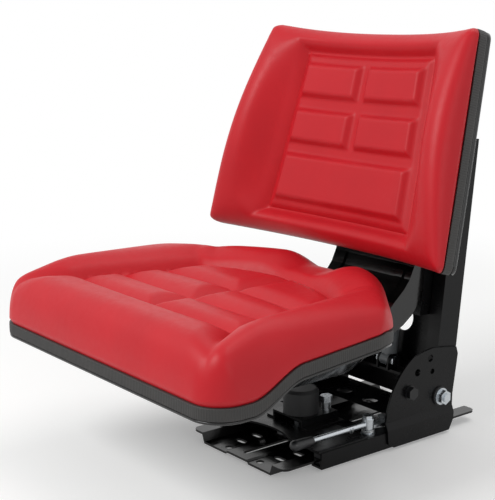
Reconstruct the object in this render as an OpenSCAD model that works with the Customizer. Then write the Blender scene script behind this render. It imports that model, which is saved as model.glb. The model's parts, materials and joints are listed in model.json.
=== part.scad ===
// Sprung tractor seat on slide rails, with a roller mast behind the backrest.
// X is across the seat, the seat faces -Y, and Z is up from the floor of the base plate.

/* [Base plate] */
// Length of the base plate
base_len = 365; // [340:5:420]
// Front edge of the base plate
base_front = -182.5; // [-200:0.5:-170]
// Half width of the flat floor
floor_half = 71.5; // [66:0.5:73]
// Half width at the top of the sloping walls
wall_half = 76; // [75:0.5:78]
// Half width over the side lips
lip_half = 100; // [98:0.5:101]
// Height of the lips over the floor's underside
lip_h = 15; // [14:0.5:16]
// Sheet thickness of base, rails and plates
sheet = 3; // [2.5:0.5:3.5]
// Length of a mounting slot, end to end
slot_len = 20; // [16:1:24]
// Width of a mounting slot
slot_w = 9; // [7:0.5:10]
// Spacing of the main mounting slots across
slot_dx = 84; // [80:1:90]
// Spacing of the main mounting slots along
slot_dy = 282; // [270:2:290]

/* [Slide] */
// Length of each rail
rail_len = 241; // [220:1:260]
// Front end of the rails
rail_front = -125; // [-130:1:-120]
// Outer half width over the rails
rail_half = 108; // [107:0.5:110]
// Underside of the rails over the floor
rail_z = 3.5; // [3:0.5:4]
// Height of a rail
rail_h = 22.5; // [22:0.5:24]
// Width of a rail's lower return
return_w = 20; // [18:1:21]
// Width of a rail's top flange
flange_w = 24; // [23:1:25]
// Length of a plastic glide
glide_len = 30; // [24:2:40]
// Running clearance round the lips
glide_gap = 0.3; // [0.2:0.05:0.4]
// Pitch of the lock notches
notch_pitch = 15; // [12:1:18]
// Number of lock notches
notch_count = 9; // [7:1:10]

/* [Cheek plates] */
// Pivot of the mast along Y
pivot_y = 96.6; // [92:0.2:100]
// Pivot of the mast over the floor
pivot_z = 57; // [54:0.5:60]
// Radius of the row of tilt holes
tilt_r = 62; // [58:1:64]
// Angle of the first tilt hole from +Y
tilt_a = 164; // [162:1:166]
// Pitch of the tilt holes
tilt_pitch = 27.5; // [26:0.5:29]
// Diameter of the tilt bolts
tilt_d = 10; // [8:1:10]
// Diameter of the pivot bolts
pivot_d = 12; // [10:1:14]
// Radius of the cheeks' curved front edge
cheek_r = 108; // [104:1:110]

/* [Mast] */
// Lean of the mast from upright
lean = 6.7; // [4:0.1:9]
// Outer half width of the mast
mast_half = 104; // [104:0.5:105]
// Depth of the channel
mast_depth = 37.5; // [36.5:0.5:38.5]
// Web's outer face behind the pivot
mast_back = 27; // [26:0.5:28]
// Top of the mast above the pivot
mast_top = 362; // [356:1:370]
// Width of the front lips
mast_lip = 22; // [20:1:23]

/* [Carriage] */
// Lower edge of the carriage above the pivot
car_low = 110; // [105:1:115]
// Upper edge of the carriage above the pivot
car_high = 330; // [325:1:335]
// Outer half width of the carriage
car_half = 79; // [77:0.5:80]
// Suspension travel
travel = 80; // [70:1:80]
// Diameter of a roller
roller_d = 31; // [30:0.1:31]
// Width of a roller
roller_w = 14; // [12:1:15]
// Diameter of a roller pin
pin_d = 10; // [8:1:12]
// Radial running clearance on pins and shafts
run_gap = 0.05; // [0.02:0.01:0.1]

/* [Springs and damper] */
// Outer diameter of a tension spring
spring_d = 22; // [18:1:24]
// Wire of a tension spring
spring_wire = 3.5; // [3:0.1:4]
// Half spacing of the springs
spring_x = 48; // [44:1:52]
// Diameter of the damper tube
damper_d = 26; // [22:1:28]
// Diameter of the damper rod
damper_rod_d = 8; // [6:1:10]
// Diameter of the adjuster spindle
spindle_d = 12; // [10:1:14]
// Diameter of the adjuster knob
knob_d = 46; // [40:1:50]
// Diameter of the rubber buffer
buffer_d = 50; // [40:1:50]

/* [Lever] */
// Lever pivot across
lever_x = 92; // [91:0.5:93]
// Lever pivot along
lever_y = -27; // [-30:1:-24]
// Height of the lever rod
lever_z = 40; // [39:0.5:42]
// Diameter of the lever rod
rod_d = 8; // [7:0.5:9]
// Diameter of the grip
grip_d = 15; // [13:0.5:18]
// Rear end of the grip
grip_back = -128; // [-134:1:-120]
// Length of the grip
grip_len = 36; // [30:1:45]

/* [Seat cushion] */
// Width of the seat cushion
seat_w = 490; // [470:2:500]
// Front edge of the seat cushion
seat_front = -399; // [-410:1:-390]
// Rear edge of the seat cushion at the neck
seat_rear = 8; // [4:1:12]
// Slope of the cut-back rear corners
rear_cut = 0.89; // [0.84:0.01:0.94]
// Radius of the front corners
seat_r = 40; // [34:1:50]
// Height of the cushion's lower edge at the front
edge_front = 181; // [178:0.5:184]
// Height of that edge along the sides
edge_side = 222; // [216:0.5:226]
// Height of the pads
pad_z = 241; // [236:1:246]
// Rise of the side bolsters over the pads
bolster = 19; // [8:1:22]
// Half width of the padded field
pad_half = 162; // [154:1:168]
// Depth of the channels between pads
channel = 7; // [4:0.5:9]

/* [Back cushion] */
// Width of the back cushion at its lower edge
back_low_w = 472; // [456:2:486]
// Width of the back cushion at its upper edge
back_high_w = 392; // [376:2:406]
// Height of the back cushion along its face
back_h = 308; // [298:1:318]
// Lean of the backrest from upright
back_lean = 15; // [13:0.5:17]
// Lower edge of the backrest along Y
back_y = 2.5; // [-2.5:0.5:7.5]
// Lower edge of the backrest over the floor
back_z = 263; // [258:1:268]
// How far the backrest's edges stand forward of its middle
back_wrap = 48; // [40:1:54]
// Thickness of the border at the ends of the backrest
border = 24; // [20:1:30]
// Extra thickness of the border half way up
belly = 26; // [20:1:30]
// Thickness of the panel
panel = 18; // [14:1:22]

/* [Shell and trim] */
// Sheet thickness of the shell
shell_t = 2; // [1.5:0.1:2.5]
// Height of the ribbed trim
trim_h = 15.5; // [14:0.5:17]
// Thickness of the ribbed trim
trim_t = 3.6; // [3:0.1:4.5]
// Height of the shell's turned edge behind the trim
hem_h = 6.5; // [5:0.5:8]
// Half width of the neck
neck_half = 80; // [76:1:84]
// Height of the pan's floor
pan_z = 163.5; // [162:0.5:165]

/* [Hidden] */

$fn = 48;
// Overlap of cutting bodies past the face they cut
cut = 1;
// Gap between faces that only just clear each other
near_gap = 0.3;

// Rails and base, from the sections
base_back = base_front + base_len;
base_mid = base_front + base_len / 2;
rail_back = rail_front + rail_len;
rail_top = rail_z + rail_h;
rail_in = rail_half - sheet;
plate_z = rail_top + sheet;
cheek_x = mast_half + sheet;

// Mast section, in its own axes: across, back and up from the pivot
mast_front = mast_back - mast_depth;
web_in = mast_back - sheet;
lip_in = mast_front + sheet;
lip_low = 40;
mast_low = -24;
cap_z = mast_top - 12;
roller_t = (web_in + lip_in) / 2;
roller_x = mast_half - sheet - 2 - roller_w / 2;
roller_low = car_low + 20;
roller_high = car_high - 25;
car_front = mast_front - 16.5;
car_back = 18;
spring_t = roller_t - 0.25;
yoke_z = car_high - 4;
stub_z = car_low + 40;
eye_low = 28;
eye_high = car_high - 94;
eye_r = 9;
lug_r = 10;
foot_z = 12;
tube_low = eye_low + lug_r + near_gap;
tube_high = eye_high - travel - eye_r - 14;
rod_low = tube_low + travel + 5;
knob_z = cap_z + sheet + 1 + near_gap;

// Shell and cushions
seat_half = seat_w / 2;
pan_rim = -trim_h;
wall_t = mast_front - 36;
bolt_s = [car_low + 115, car_high - 20];
bolt_x = 45;
neck_s = 199;
neck_top = car_high;

// Lock strip, its teeth and the lever's tooth
strip_in = wall_half + 1;
strip_w = 10;
strip_t = 2.5;
notch_w = 6;
notch_d = 5;
tooth_w = 5;
tooth_y = 18;
lever_t = 4;
hub_z = lever_z - 6;
hub_h = 12;

// Rubber buffer under the pan
buffer_y = -68;
saddle_z = plate_z + 13;
stop_z = pan_z - shell_t;
stop_t = 3;
drop_y = travel * sin(lean);
drop_z = travel * cos(lean);
buffer_top = stop_z - shell_t - stop_t - drop_z - near_gap;

black = [0.07, 0.07, 0.075];
zinc = [0.72, 0.74, 0.76];
red = [0.72, 0.08, 0.1];
rubber = [0.12, 0.12, 0.12];
edging = [0.22, 0.22, 0.21];

// Places things in the mast's own axes
module on_mast() { translate([0, pivot_y, pivot_z]) rotate([-lean, 0, 0]) children(); }
// Both hands of a part drawn on the right
module both() {
    children();
    mirror([1, 0, 0]) children();
}
// Plate in a plane across X, from an outline in Y and Z
module side_plate(x, t) { translate([x, 0, 0]) rotate([90, 0, 90]) linear_extrude(t) children(); }
// Bar along Y, from a section in X and Z
module along_y(y, len) { translate([0, y + len, 0]) rotate([90, 0, 0]) linear_extrude(len) children(); }
// Round bar along X
module bar_x(x, len, d) { translate([x, 0, 0]) rotate([0, 90, 0]) cylinder(h = len, d = d); }
// Hexagon nut or head along Z
module hex(af, h) { cylinder(h = h, d = af / cos(30), $fn = 6); }
// Slot with round ends along X
module slot_x(len, w, h) {
    translate([-(len - w) / 2, -w / 2, 0]) cube([len - w, w, h]);
    for (s = [-1, 1]) translate([s * (len - w) / 2, 0, 0]) cylinder(h = h, d = w);
}
function arc(cx, cy, r, a, b, n) =
    [for (i = [0:n]) let (t = a + (b - a) * i / n) [cx + r * cos(t), cy + r * sin(t)]];

// Base plate: floor, sloping walls and side lips of one sheet
bead_h = 2.5;
bead_in = -20;
bead_out = 22;
module base_profile() {
    fh = floor_half;
    polygon([[-lip_half, lip_h], [-wall_half, lip_h], [-fh, sheet], [bead_in - 2, sheet],
        [bead_in, sheet + bead_h],
        [bead_out, sheet + bead_h], [bead_out + 2, sheet], [fh, sheet], [wall_half, lip_h],
            [lip_half, lip_h],
        [lip_half, lip_h - sheet], [wall_half + 1.5, lip_h - sheet], [fh + 1.5, 0], [bead_out + 4, 0],
        [bead_out + 2, bead_h], [bead_in - 2, bead_h], [bead_in - 4, 0], [-fh - 1.5, 0],
        [-wall_half - 1.5, lip_h - sheet], [-lip_half, lip_h - sheet]]);
}
corner_r = 10;
tail = 24;
module base_plate() color(black) difference() {
    along_y(base_front, base_len) base_profile();
    // Rounded corners of the lips
    both() for (e = [[base_front, 1], [base_back, -1]]) difference() {
        translate([lip_half - corner_r, e[1] > 0 ? e[0] - cut : e[0] - corner_r, lip_h - sheet - cut])
            cube([corner_r + cut, corner_r + cut, sheet + 2 * cut]);
        translate([lip_half - corner_r, e[0] + e[1] * corner_r, lip_h - sheet - 2 * cut])
            cylinder(h = sheet + 4 * cut, r = corner_r);
    }
    // The floor stops short of the lips' rear tails
    translate([-wall_half - 2, base_back - tail, -cut])
        cube([2 * wall_half + 4, tail + cut, lip_h + 2 * cut]);
    for (x = [-1, 1], y = [-1, 1]) translate([x * slot_dx / 2, base_mid + y * slot_dy / 2, -cut])
        slot_x(slot_len, slot_w, sheet + 2 * cut);
    for (x = [-1, 1], y = [-1, 1]) translate([x * (slot_dx / 2 + 3), base_mid + y * (slot_dy / 2 - 30),
        -cut])
        slot_x(slot_len, slot_w, sheet + 2 * cut);
    for (x = [-1, 1]) translate([x * 34, base_front + 14, -cut]) cylinder(h = sheet + 2 * cut, d = 11);
    translate([1, base_front + 53, -cut]) rotate([0, 0, 90]) slot_x(80, 8, sheet + bead_h + 2 * cut);
    translate([1, base_mid + 60, -cut]) rotate([0, 0, 90]) slot_x(70, 8, sheet + bead_h + 2 * cut);
}

// Notched lock strip on the right lip
strip_y = tooth_y;
module rack_strip() color(black) difference() {
    len = notch_pitch * (notch_count + 1);
    translate([strip_in, strip_y - len / 2, lip_h]) cube([strip_w, len, strip_t]);
    for (i = [0:notch_count - 1])
        translate([strip_in - cut, strip_y + (i - (notch_count - 1) / 2) * notch_pitch - notch_w / 2,
            lip_h - cut])
            cube([notch_d + cut, notch_w, strip_t + 2 * cut]);
}

// C rail, open towards the middle
module rail() color(black) along_y(rail_front, rail_len) polygon([
    [rail_half, rail_z], [rail_half, rail_top], [rail_half - flange_w, rail_top],
        [rail_half - flange_w, rail_top - sheet],
    [rail_in, rail_top - sheet], [rail_in, rail_z + sheet], [rail_half - return_w, rail_z + sheet],
    [rail_half - return_w, rail_z]]);
module rail_right() difference() {
    rail();
    translate([lever_x, lever_y, rail_top - sheet - cut])
        cylinder(h = sheet + 2 * cut, d = pin_d + 2 * run_gap);
}
module rail_left() mirror([1, 0, 0]) rail();
// U-shaped glides that carry the lips inside the rails
module slide_glides() color(rubber) both() for (y = [rail_front + 4, rail_back - 4 - glide_len])
    difference() {
    x0 = rail_half - return_w;
    translate([x0, y, rail_z + sheet]) cube([rail_in - x0, glide_len, rail_h - 2 * sheet]);
    translate([x0 - cut, y - cut, lip_h - sheet - glide_gap])
        cube([lip_half + glide_gap - x0 + cut, glide_len + 2 * cut, sheet + 2 * glide_gap]);
}

// Plates across the rails
plate_half = rail_half - 1;
plate_back = -42;
nose_r = 110;
nose_y = -117;
module front_plate() color(black) difference() {
    translate([-plate_half, rail_front - 4, rail_top])
        cube([2 * plate_half, plate_back - rail_front + 4, sheet]);
    translate([0, nose_y - nose_r, rail_top - cut]) cylinder(h = sheet + 2 * cut, r = nose_r, $fn = 96);
    for (x = [-1, 1]) translate([x * 62, -88, rail_top - cut]) cylinder(h = sheet + 2 * cut, d = 12);
}
rear_y = 44;
module rear_plate() color(black) difference() {
    translate([-plate_half, rear_y, rail_top]) cube([2 * plate_half, rail_back - 4 - rear_y, sheet]);
    for (x = [-1, 0, 1]) translate([x * 55, rear_y + 22, rail_top - cut])
        cylinder(h = sheet + 2 * cut, d = 24);
}

// Cheek plate: joggled sheet with a curved front edge
cheek_cy = 100;
cheek_cz = 31;
module cheek_outline() polygon(concat(
    [[114, rail_z], [122.5, 19], [123.5, 55], [132.5, 112], [129, 122.5], [114, 125], [82, 129.5],
        [68, 128]],
    arc(cheek_cy, cheek_cz, cheek_r, 121, 183, 14), [[-6, 10], [4, rail_z]]));
module joggle() polygon([[rail_half, 0], [rail_half + sheet, 0], [rail_half + sheet, plate_z + near_gap],
    [cheek_x, plate_z + 10], [cheek_x, 140], [mast_half, 140], [mast_half, plate_z + 10],
        [rail_half, plate_z + near_gap]]);
function tilt_at(i) = [pivot_y + tilt_r * cos(tilt_a - i * tilt_pitch),
    pivot_z + tilt_r * sin(tilt_a - i * tilt_pitch)];
spare_r = 42;
spare_a = 112;
module cheek() color(black) difference() {
    intersection() {
        side_plate(mast_half - 2, rail_half + sheet + 4 - mast_half) cheek_outline();
        along_y(-20, 170) joggle();
    }
    translate([0, pivot_y, pivot_z]) bar_x(mast_half - 4, 12, pivot_d + 0.4);
    for (i = [0:2]) translate([0, tilt_at(i)[0], tilt_at(i)[1]]) bar_x(mast_half - 4, 12, tilt_d + 0.4);
    translate([0, pivot_y + spare_r * cos(spare_a), pivot_z + spare_r * sin(spare_a)])
        bar_x(mast_half - 4, 12, 8);
}
module cheek_right() cheek();
module cheek_left() mirror([1, 0, 0]) cheek();

// Bolts of the cheeks: the pivot with its nut outside, the tilt bolt with its head outside
nut_x = cheek_x + 2.5;
module pivot_bolts() color(zinc) both() translate([0, pivot_y, pivot_z]) {
    bar_x(mast_half - sheet, 18 + sheet, pivot_d);
    translate([mast_half - sheet - 7, 0, 0]) rotate([0, 90, 0]) hex(18, 7);
}
module pivot_washers() color(rubber) both() translate([cheek_x, pivot_y, pivot_z]) rotate([0, 90, 0])
    difference() {
    cylinder(h = nut_x - cheek_x, d = 27);
    translate([0, 0, -cut]) cylinder(h = 2 * cut + nut_x - cheek_x, d = pivot_d);
}
module pivot_nuts() color(zinc) both() translate([nut_x, pivot_y, pivot_z]) rotate([0, 90, 0]) difference() {
    union() {
        cylinder(h = 2, d = 24);
        hex(18, 10);
    }
    translate([0, 0, -cut]) cylinder(h = 12, d = pivot_d);
}
module tilt_bolts() color(black) both() translate([0, tilt_at(0)[0], tilt_at(0)[1]]) {
    bar_x(mast_half - 14, 14 + sheet, tilt_d);
    translate([cheek_x, 0, 0]) rotate([0, 90, 0]) {
        cylinder(h = 1.6, d = 20);
        hex(16, 8);
    }
}
module tilt_nuts() color(zinc) both() translate([mast_half - sheet - 8, tilt_at(0)[0], tilt_at(0)[1]])
    rotate([0, 90, 0]) difference() {
        hex(16, 8);
        translate([0, 0, -cut]) cylinder(h = 10, d = tilt_d);
    }

// Mast: web, side flanges, front lips and the ears down to the tilt bolts
ear_r = 13;
module mast() color(black) on_mast() difference() {
    ty = tilt_at(0)[0] - pivot_y;
    tz = tilt_at(0)[1] - pivot_z;
    et = ty * cos(lean) - tz * sin(lean);
    es = tz * cos(lean) + ty * sin(lean);
    union() {
        translate([-mast_half, web_in, mast_low]) cube([2 * mast_half, sheet, mast_top - mast_low]);
        both() {
            translate([mast_half - sheet, mast_front, mast_low])
                cube([sheet, mast_depth, mast_top - mast_low]);
            translate([mast_half - mast_lip, mast_front, lip_low])
                cube([mast_lip, sheet, mast_top - lip_low]);
            side_plate(mast_half - sheet, sheet)
                polygon(concat([[mast_front + 1, mast_low], [mast_front + 1, lip_low + 20]],
                    arc(et, es, ear_r, 100, 260, 10)));
        }
    }
    both() {
        bar_x(mast_half - 5, 8, pivot_d + 0.4);
        translate([0, et, es]) bar_x(mast_half - 5, 8, tilt_d + 0.4);
    }
    // Window for the weight pointer and two lightening holes
    translate([0, web_in - cut, mast_top - 90]) rotate([-90, 0, 0]) rotate([0, 0, 90])
        slot_x(90, 12, sheet + 2 * cut);
    for (s = [90, 190]) translate([0, web_in - cut, s]) rotate([-90, 0, 0])
        cylinder(h = sheet + 2 * cut, d = 40);
}
cap_front = car_front;
module mast_cap() color(black) on_mast() difference() {
    union() {
        translate([sheet - mast_half, lip_in, cap_z])
            cube([2 * (mast_half - sheet), web_in - lip_in, sheet + 1]);
        translate([-car_half, cap_front, cap_z]) cube([2 * car_half, lip_in - cap_front + 1, sheet + 1]);
    }
    translate([0, spring_t, cap_z - cut]) cylinder(h = sheet + 3 * cut, d = spindle_d + 0.4);
}
top_buffer_x = 55;
top_buffer_t = car_front + 10;
module top_buffers() color(rubber) on_mast() both()
    translate([top_buffer_x, top_buffer_t, car_high + sheet + near_gap])
    cylinder(h = cap_z - car_high - sheet - near_gap, d1 = 12, d2 = 16);

// Lower bracket of the damper, between the mast's flanges
ear_x = 9;
module damper_foot() color(black) on_mast() difference() {
    union() {
        translate([sheet - mast_half, mast_front + sheet, foot_z])
            cube([2 * (mast_half - sheet), web_in - mast_front - sheet, sheet + 1]);
        both() side_plate(ear_x, sheet)
            polygon(concat([[-lug_r, foot_z + 2], [lug_r, foot_z + 2]], arc(0, eye_low, lug_r, 0, 180, 12)));
    }
    translate([0, 0, eye_low]) bar_x(-20, 40, pin_d - 2 + 0.4);
}
module damper_tube() color([0.3, 0.31, 0.32]) on_mast() difference() {
    union() {
        translate([0, 0, tube_low]) cylinder(h = tube_high - tube_low, d = damper_d);
        translate([0, 0, eye_low]) bar_x(-ear_x + near_gap, 2 * (ear_x - near_gap), 2 * eye_r);
        translate([0, 0, eye_low]) cylinder(h = eye_r + 2, d = 14);
    }
    translate([0, 0, tube_low + 4]) cylinder(h = tube_high - tube_low, d = damper_rod_d + 2 * run_gap);
    translate([0, 0, eye_low]) bar_x(-20, 40, pin_d - 2);
}
module damper_rod() color(zinc) on_mast() difference() {
    union() {
        translate([0, 0, rod_low]) cylinder(h = eye_high - rod_low, d = damper_rod_d);
        translate([0, 0, eye_high]) bar_x(-ear_x + near_gap, 2 * (ear_x - near_gap), 2 * eye_r);
    }
    translate([0, 0, eye_high]) bar_x(-20, 40, pin_d - 2);
}
module damper_bolt() {
    bar_x(-ear_x - sheet, 2 * (ear_x + sheet), pin_d - 2);
    for (s = [-1, 1]) translate([s > 0 ? ear_x + sheet : -ear_x - sheet - 5, 0, 0]) rotate([0, 90, 0])
        hex(13, 5);
}
module damper_bolt_low() color(zinc) on_mast() translate([0, 0, eye_low]) damper_bolt();
module damper_bolt_high() color(zinc) on_mast() translate([0, 0, eye_high]) damper_bolt();

// Carriage: folded plate with roller arms, stub pins for the springs and the damper's clevis
stub_x = spring_x - 10;
module carriage() color(black) on_mast() difference() {
    union() {
        translate([-car_half, car_front, car_low]) cube([2 * car_half, sheet, car_high - car_low]);
        translate([-car_half, car_front, car_high]) cube([2 * car_half, 19, sheet]);
        both() {
            side_plate(car_half - sheet, sheet)
                polygon([[car_front, car_low], [car_back, car_low + 4], [car_back, roller_low + 22],
                [0, roller_low + 44], [0, roller_high - 44], [car_back, roller_high - 22],
                    [car_back, car_high - 8],
                [car_front + 19, car_high + sheet], [car_front, car_high + sheet]]);
            translate([0, spring_t, stub_z]) bar_x(stub_x, car_half - cut - stub_x, pin_d);
            translate([0, spring_t, stub_z]) bar_x(stub_x, 2, pin_d + 5);
            side_plate(ear_x, sheet) polygon(concat([[car_front + 1, eye_high - 14]],
                arc(0, eye_high, lug_r, -90, 90, 12),
                [[car_front + 1, eye_high + 14]]));
        }
    }
    both() for (s = [roller_low, roller_high]) translate([0, roller_t, s]) bar_x(car_half - 5, 8, pin_d);
    translate([0, 0, eye_high]) bar_x(-20, 40, pin_d - 2);
    both() for (s = bolt_s) translate([bolt_x, car_front - cut, s]) rotate([-90, 0, 0])
        cylinder(h = sheet + 2 * cut, d = pin_d);
}
// Shouldered pins with a head inside and a retaining ring outside
module roller_pins() color(zinc) on_mast() both() for (s = [roller_low, roller_high])
    translate([0, roller_t, s]) {
    bar_x(car_half - sheet - 4, roller_x + roller_w / 2 + 1.4 - (car_half - sheet - 4), pin_d);
    bar_x(car_half - sheet - 4, 4, pin_d + 6);
    bar_x(car_half, roller_x - roller_w / 2 - 0.2 - car_half, pin_d + 4);
    bar_x(roller_x + roller_w / 2 + 0.2, 1.2, pin_d + 3);
}
module roller(side, s) color([0.85, 0.85, 0.82]) on_mast() translate([side * roller_x, roller_t, s])
    rotate([0, 90, 0]) {
    difference() {
        cylinder(h = roller_w, d = roller_d, center = true);
        cylinder(h = roller_w + 2, d = pin_d + 2 * run_gap, center = true);
        for (e = [-1, 1]) translate([0, 0, e * roller_w / 2]) difference() {
            cylinder(h = 3, d = roller_d - 8, center = true);
            cylinder(h = 4, d = pin_d + 6, center = true);
        }
    }
}
module roller_upper_left() roller(-1, roller_high);
module roller_upper_right() roller(1, roller_high);
module roller_lower_left() roller(-1, roller_low);
module roller_lower_right() roller(1, roller_low);

// Tension springs: a ridged coil body with a ring at each end
hook_r = pin_d / 2 + near_gap + spring_wire / 2;
coil_low = stub_z + hook_r + spring_wire / 2 - 1;
coil_high = yoke_z - hook_r - spring_wire / 2 + 1;
coil_n = floor((coil_high - coil_low) / spring_wire);
module coil_body() {
    p = (coil_high - coil_low) / coil_n;
    ro = spring_d / 2;
    ri = ro - spring_wire;
    rotate_extrude() polygon(concat([[ri, 0], [ro - 0.9, 0]],
        [for (i = [0:coil_n - 1], e = [0, 1]) e == 0 ? [ro, (i + 0.5) * p] : [ro - 0.9, (i + 1) * p]],
        [[ri, coil_high - coil_low]]));
    for (z = [0, coil_high - coil_low - 2]) translate([0, 0, z]) cylinder(h = 2, r = ri + 0.5);
}
module suspension_springs() color(zinc) on_mast() both() translate([spring_x, spring_t, 0]) {
    translate([0, 0, coil_low]) coil_body();
    for (z = [stub_z, yoke_z]) translate([0, 0, z]) rotate([0, 90, 0])
        rotate_extrude() translate([hook_r, 0]) circle(d = spring_wire, $fn = 24);
}
// Yoke bar that hangs the springs, its threaded boss and the adjuster
module spring_yoke() color(zinc) on_mast() translate([0, spring_t, yoke_z]) difference() {
    union() {
        bar_x(-spring_x - 10, 2 * spring_x + 20, pin_d);
        for (s = [-1, 1]) bar_x(s * (spring_x + 11) - 1.5, 3, pin_d + 4);
        translate([0, 0, -8]) cylinder(h = 16, d = spindle_d + 12);
    }
    translate([0, 0, -20]) cylinder(h = 40, r = spindle_d / 2 + run_gap);
}
spindle_low = yoke_z - 34;
module adjuster_spindle() color(zinc) on_mast() translate([0, spring_t, 0]) {
    translate([0, 0, spindle_low]) cylinder(h = knob_z + 10 - spindle_low, d = spindle_d);
    translate([0, 0, cap_z - 3 - near_gap]) cylinder(h = 3, d = spindle_d + 8);
}
module adjuster_knob() color(rubber) on_mast() translate([0, spring_t, knob_z]) difference() {
    union() {
        cylinder(h = 8, d = 26);
        translate([0, 0, 8]) cylinder(h = 20, d = knob_d);
        translate([0, 0, 28]) cylinder(h = 2, d1 = knob_d, d2 = knob_d - 5);
    }
    translate([0, 0, -cut]) cylinder(h = 10 + cut, d = spindle_d);
    for (i = [0:5]) rotate([0, 0, i * 60]) translate([knob_d / 2 + 4, 0, 7]) cylinder(h = 24, r = 7);
}

// Rubber buffer on its saddle, and the plate under the pan that meets it
saddle_half = 28;
saddle_foot = 16;
screw_x = 18;
screw_y = 31;
module stop_bracket() color(black) difference() {
    along_y(buffer_y - 25, screw_y + 25 + 11)
        polygon([[-saddle_half - saddle_foot, plate_z], [-saddle_half, plate_z],
        [-saddle_half, saddle_z - sheet], [saddle_half, saddle_z - sheet], [saddle_half, plate_z],
        [saddle_half + saddle_foot, plate_z], [saddle_half + saddle_foot, plate_z + sheet],
        [saddle_half + sheet, plate_z + sheet], [saddle_half + sheet, saddle_z],
            [-saddle_half - sheet, saddle_z],
        [-saddle_half - sheet, plate_z + sheet], [-saddle_half - saddle_foot, plate_z + sheet]]);
    for (p = [[0, 0], [screw_x, screw_y]]) translate([p[0], buffer_y + p[1], plate_z])
        cylinder(h = 20, d = 10);
}
module stop_buffer() color(rubber) translate([0, buffer_y, saddle_z]) {
    cylinder(h = buffer_top - saddle_z - 4, d = buffer_d);
    translate([0, 0, buffer_top - saddle_z - 4]) cylinder(h = 4, d1 = buffer_d, d2 = buffer_d - 8);
}
// Stud and nut of the buffer, and the spacer with its hexagon head beside it
module stop_screw() color(zinc) {
    for (p = [[0, 0], [screw_x, screw_y]]) translate([p[0], buffer_y + p[1], plate_z + 1]) {
        cylinder(h = saddle_z - plate_z - 1, d = 10);
        hex(16, saddle_z - sheet - plate_z - 1);
    }
    translate([screw_x, buffer_y + screw_y, saddle_z]) {
        cylinder(h = 12, d = 13);
        translate([0, 0, 12]) hex(16, 9);
    }
}
module stop_plate() color(black) translate([0, buffer_y + drop_y, stop_z - shell_t - stop_t])
    cylinder(h = stop_t, d = buffer_d + 14);

// Lock lever: grip, rod, hub plate with its tooth, shouldered pivot and spring
module lever_rod() color(zinc) translate([lever_x, 0, lever_z]) rotate([-90, 0, 0])
    translate([0, 0, grip_back - 18]) cylinder(h = lever_y - pin_d / 2 - 2 - grip_back + 18, d = rod_d);
module lever_grip() color(rubber) translate([lever_x, grip_back, lever_z]) rotate([90, 0, 0]) difference() {
    union() {
        cylinder(h = grip_len - grip_d / 2, d1 = grip_d - 3, d2 = grip_d);
        translate([0, 0, grip_len - grip_d / 2]) sphere(d = grip_d);
    }
    translate([0, 0, -cut]) cylinder(h = 18 + cut, d = rod_d);
}
tooth_x = strip_in - 0.5;
arm_w = 12;
module lever_plate() color([0.45, 0.5, 0.55]) difference() {
    union() {
        translate([lever_x, lever_y, hub_z]) cylinder(h = hub_h, d = pin_d + 6);
        translate([lever_x - arm_w / 2, lever_y, hub_z]) cube([arm_w, tooth_y + 6 - lever_y, lever_t]);
        translate([tooth_x - 6, tooth_y - 6, hub_z]) cube([lever_x - tooth_x + 6, 12, lever_t]);
        translate([tooth_x - 6, tooth_y - tooth_w / 2, lip_h + 0.6]) cube([6, tooth_w, hub_z - lip_h]);
    }
    translate([lever_x, lever_y, hub_z - cut]) cylinder(h = hub_h + 2 * cut, r = pin_d / 2 + run_gap);
    translate([lever_x, lever_y - pin_d / 2 - 2, lever_z]) rotate([90, 0, 0]) cylinder(h = 10, d = rod_d);
}
module lever_pivot() color(zinc) translate([lever_x, lever_y, 0]) {
    translate([0, 0, rail_top - sheet - 4])
        cylinder(h = hub_z + hub_h + near_gap - rail_top + sheet + 4, d = pin_d);
    translate([0, 0, rail_top - sheet - 4]) hex(14, 4);
    translate([0, 0, rail_top]) cylinder(h = 1.6, d = 20);
    translate([0, 0, rail_top]) cylinder(h = hub_z - near_gap - rail_top, d = pin_d + 4);
    translate([0, 0, hub_z + hub_h + near_gap]) {
        cylinder(h = 2, d = pin_d + 7);
        hex(13, 6);
    }
}
wire = 1.8;
coil_r = pin_d / 2 + 2 + near_gap + wire / 2;
spring_z0 = rail_top + 1.6 + near_gap + wire / 2;
spring_turns = 2;
spring_pitch = (hub_z - near_gap - wire / 2 - spring_z0) / spring_turns;
hook_y = lever_y - 34;
function wire_path() = concat(
    [[lever_x + 6.5, hook_y, lever_z + 3], [lever_x + 5.6, hook_y, lever_z - 3.5],
        [lever_x, hook_y + 1, lever_z - 5.3],
        [lever_x - coil_r + 3, hook_y + 8, lever_z - 6.5]],
    [for (i = [0:spring_turns * 12]) let (a = 180 - i * 30)
        [lever_x + coil_r * cos(a), lever_y + coil_r * sin(a),
            hub_z - near_gap - wire / 2 - i / 12 * spring_pitch]],
    [[lever_x - 5, lever_y + 16, spring_z0], [lever_x + 6, lever_y + 34, spring_z0 + 2]]);
module lever_spring() color(zinc) tube_along(wire_path(), wire / 2, 6);

// Tube of a few sides swept along points
function unit(v) = v / norm(v);
function tangent(p, i) = unit(p[min(i + 1, len(p) - 1)] - p[max(i - 1, 0)]);
function ring(c, t, r, n) = let (a = abs(t[2]) > 0.9 ? [1, 0, 0] : [0, 0, 1], u = unit(cross(t, a)),
    v = cross(t, u))
    [for (k = [0:n - 1]) c + r * (cos(360 * k / n) * u + sin(360 * k / n) * v)];
module tube_along(p, r, n) {
    m = len(p);
    pts = [for (i = [0:m - 1]) each ring(p[i], tangent(p, i), r, n)];
    polyhedron(pts, concat([[for (k = [0:n - 1]) k]], [[for (k = [n - 1:-1:0]) (m - 1) * n + k]],
        [for (i = [0:m - 2], k = [0:n - 1]) [i * n + k, (i + 1) * n + k, (i + 1) * n + (k + 1) % n,
            i * n + (k + 1) % n]]), 4);
}

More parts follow.
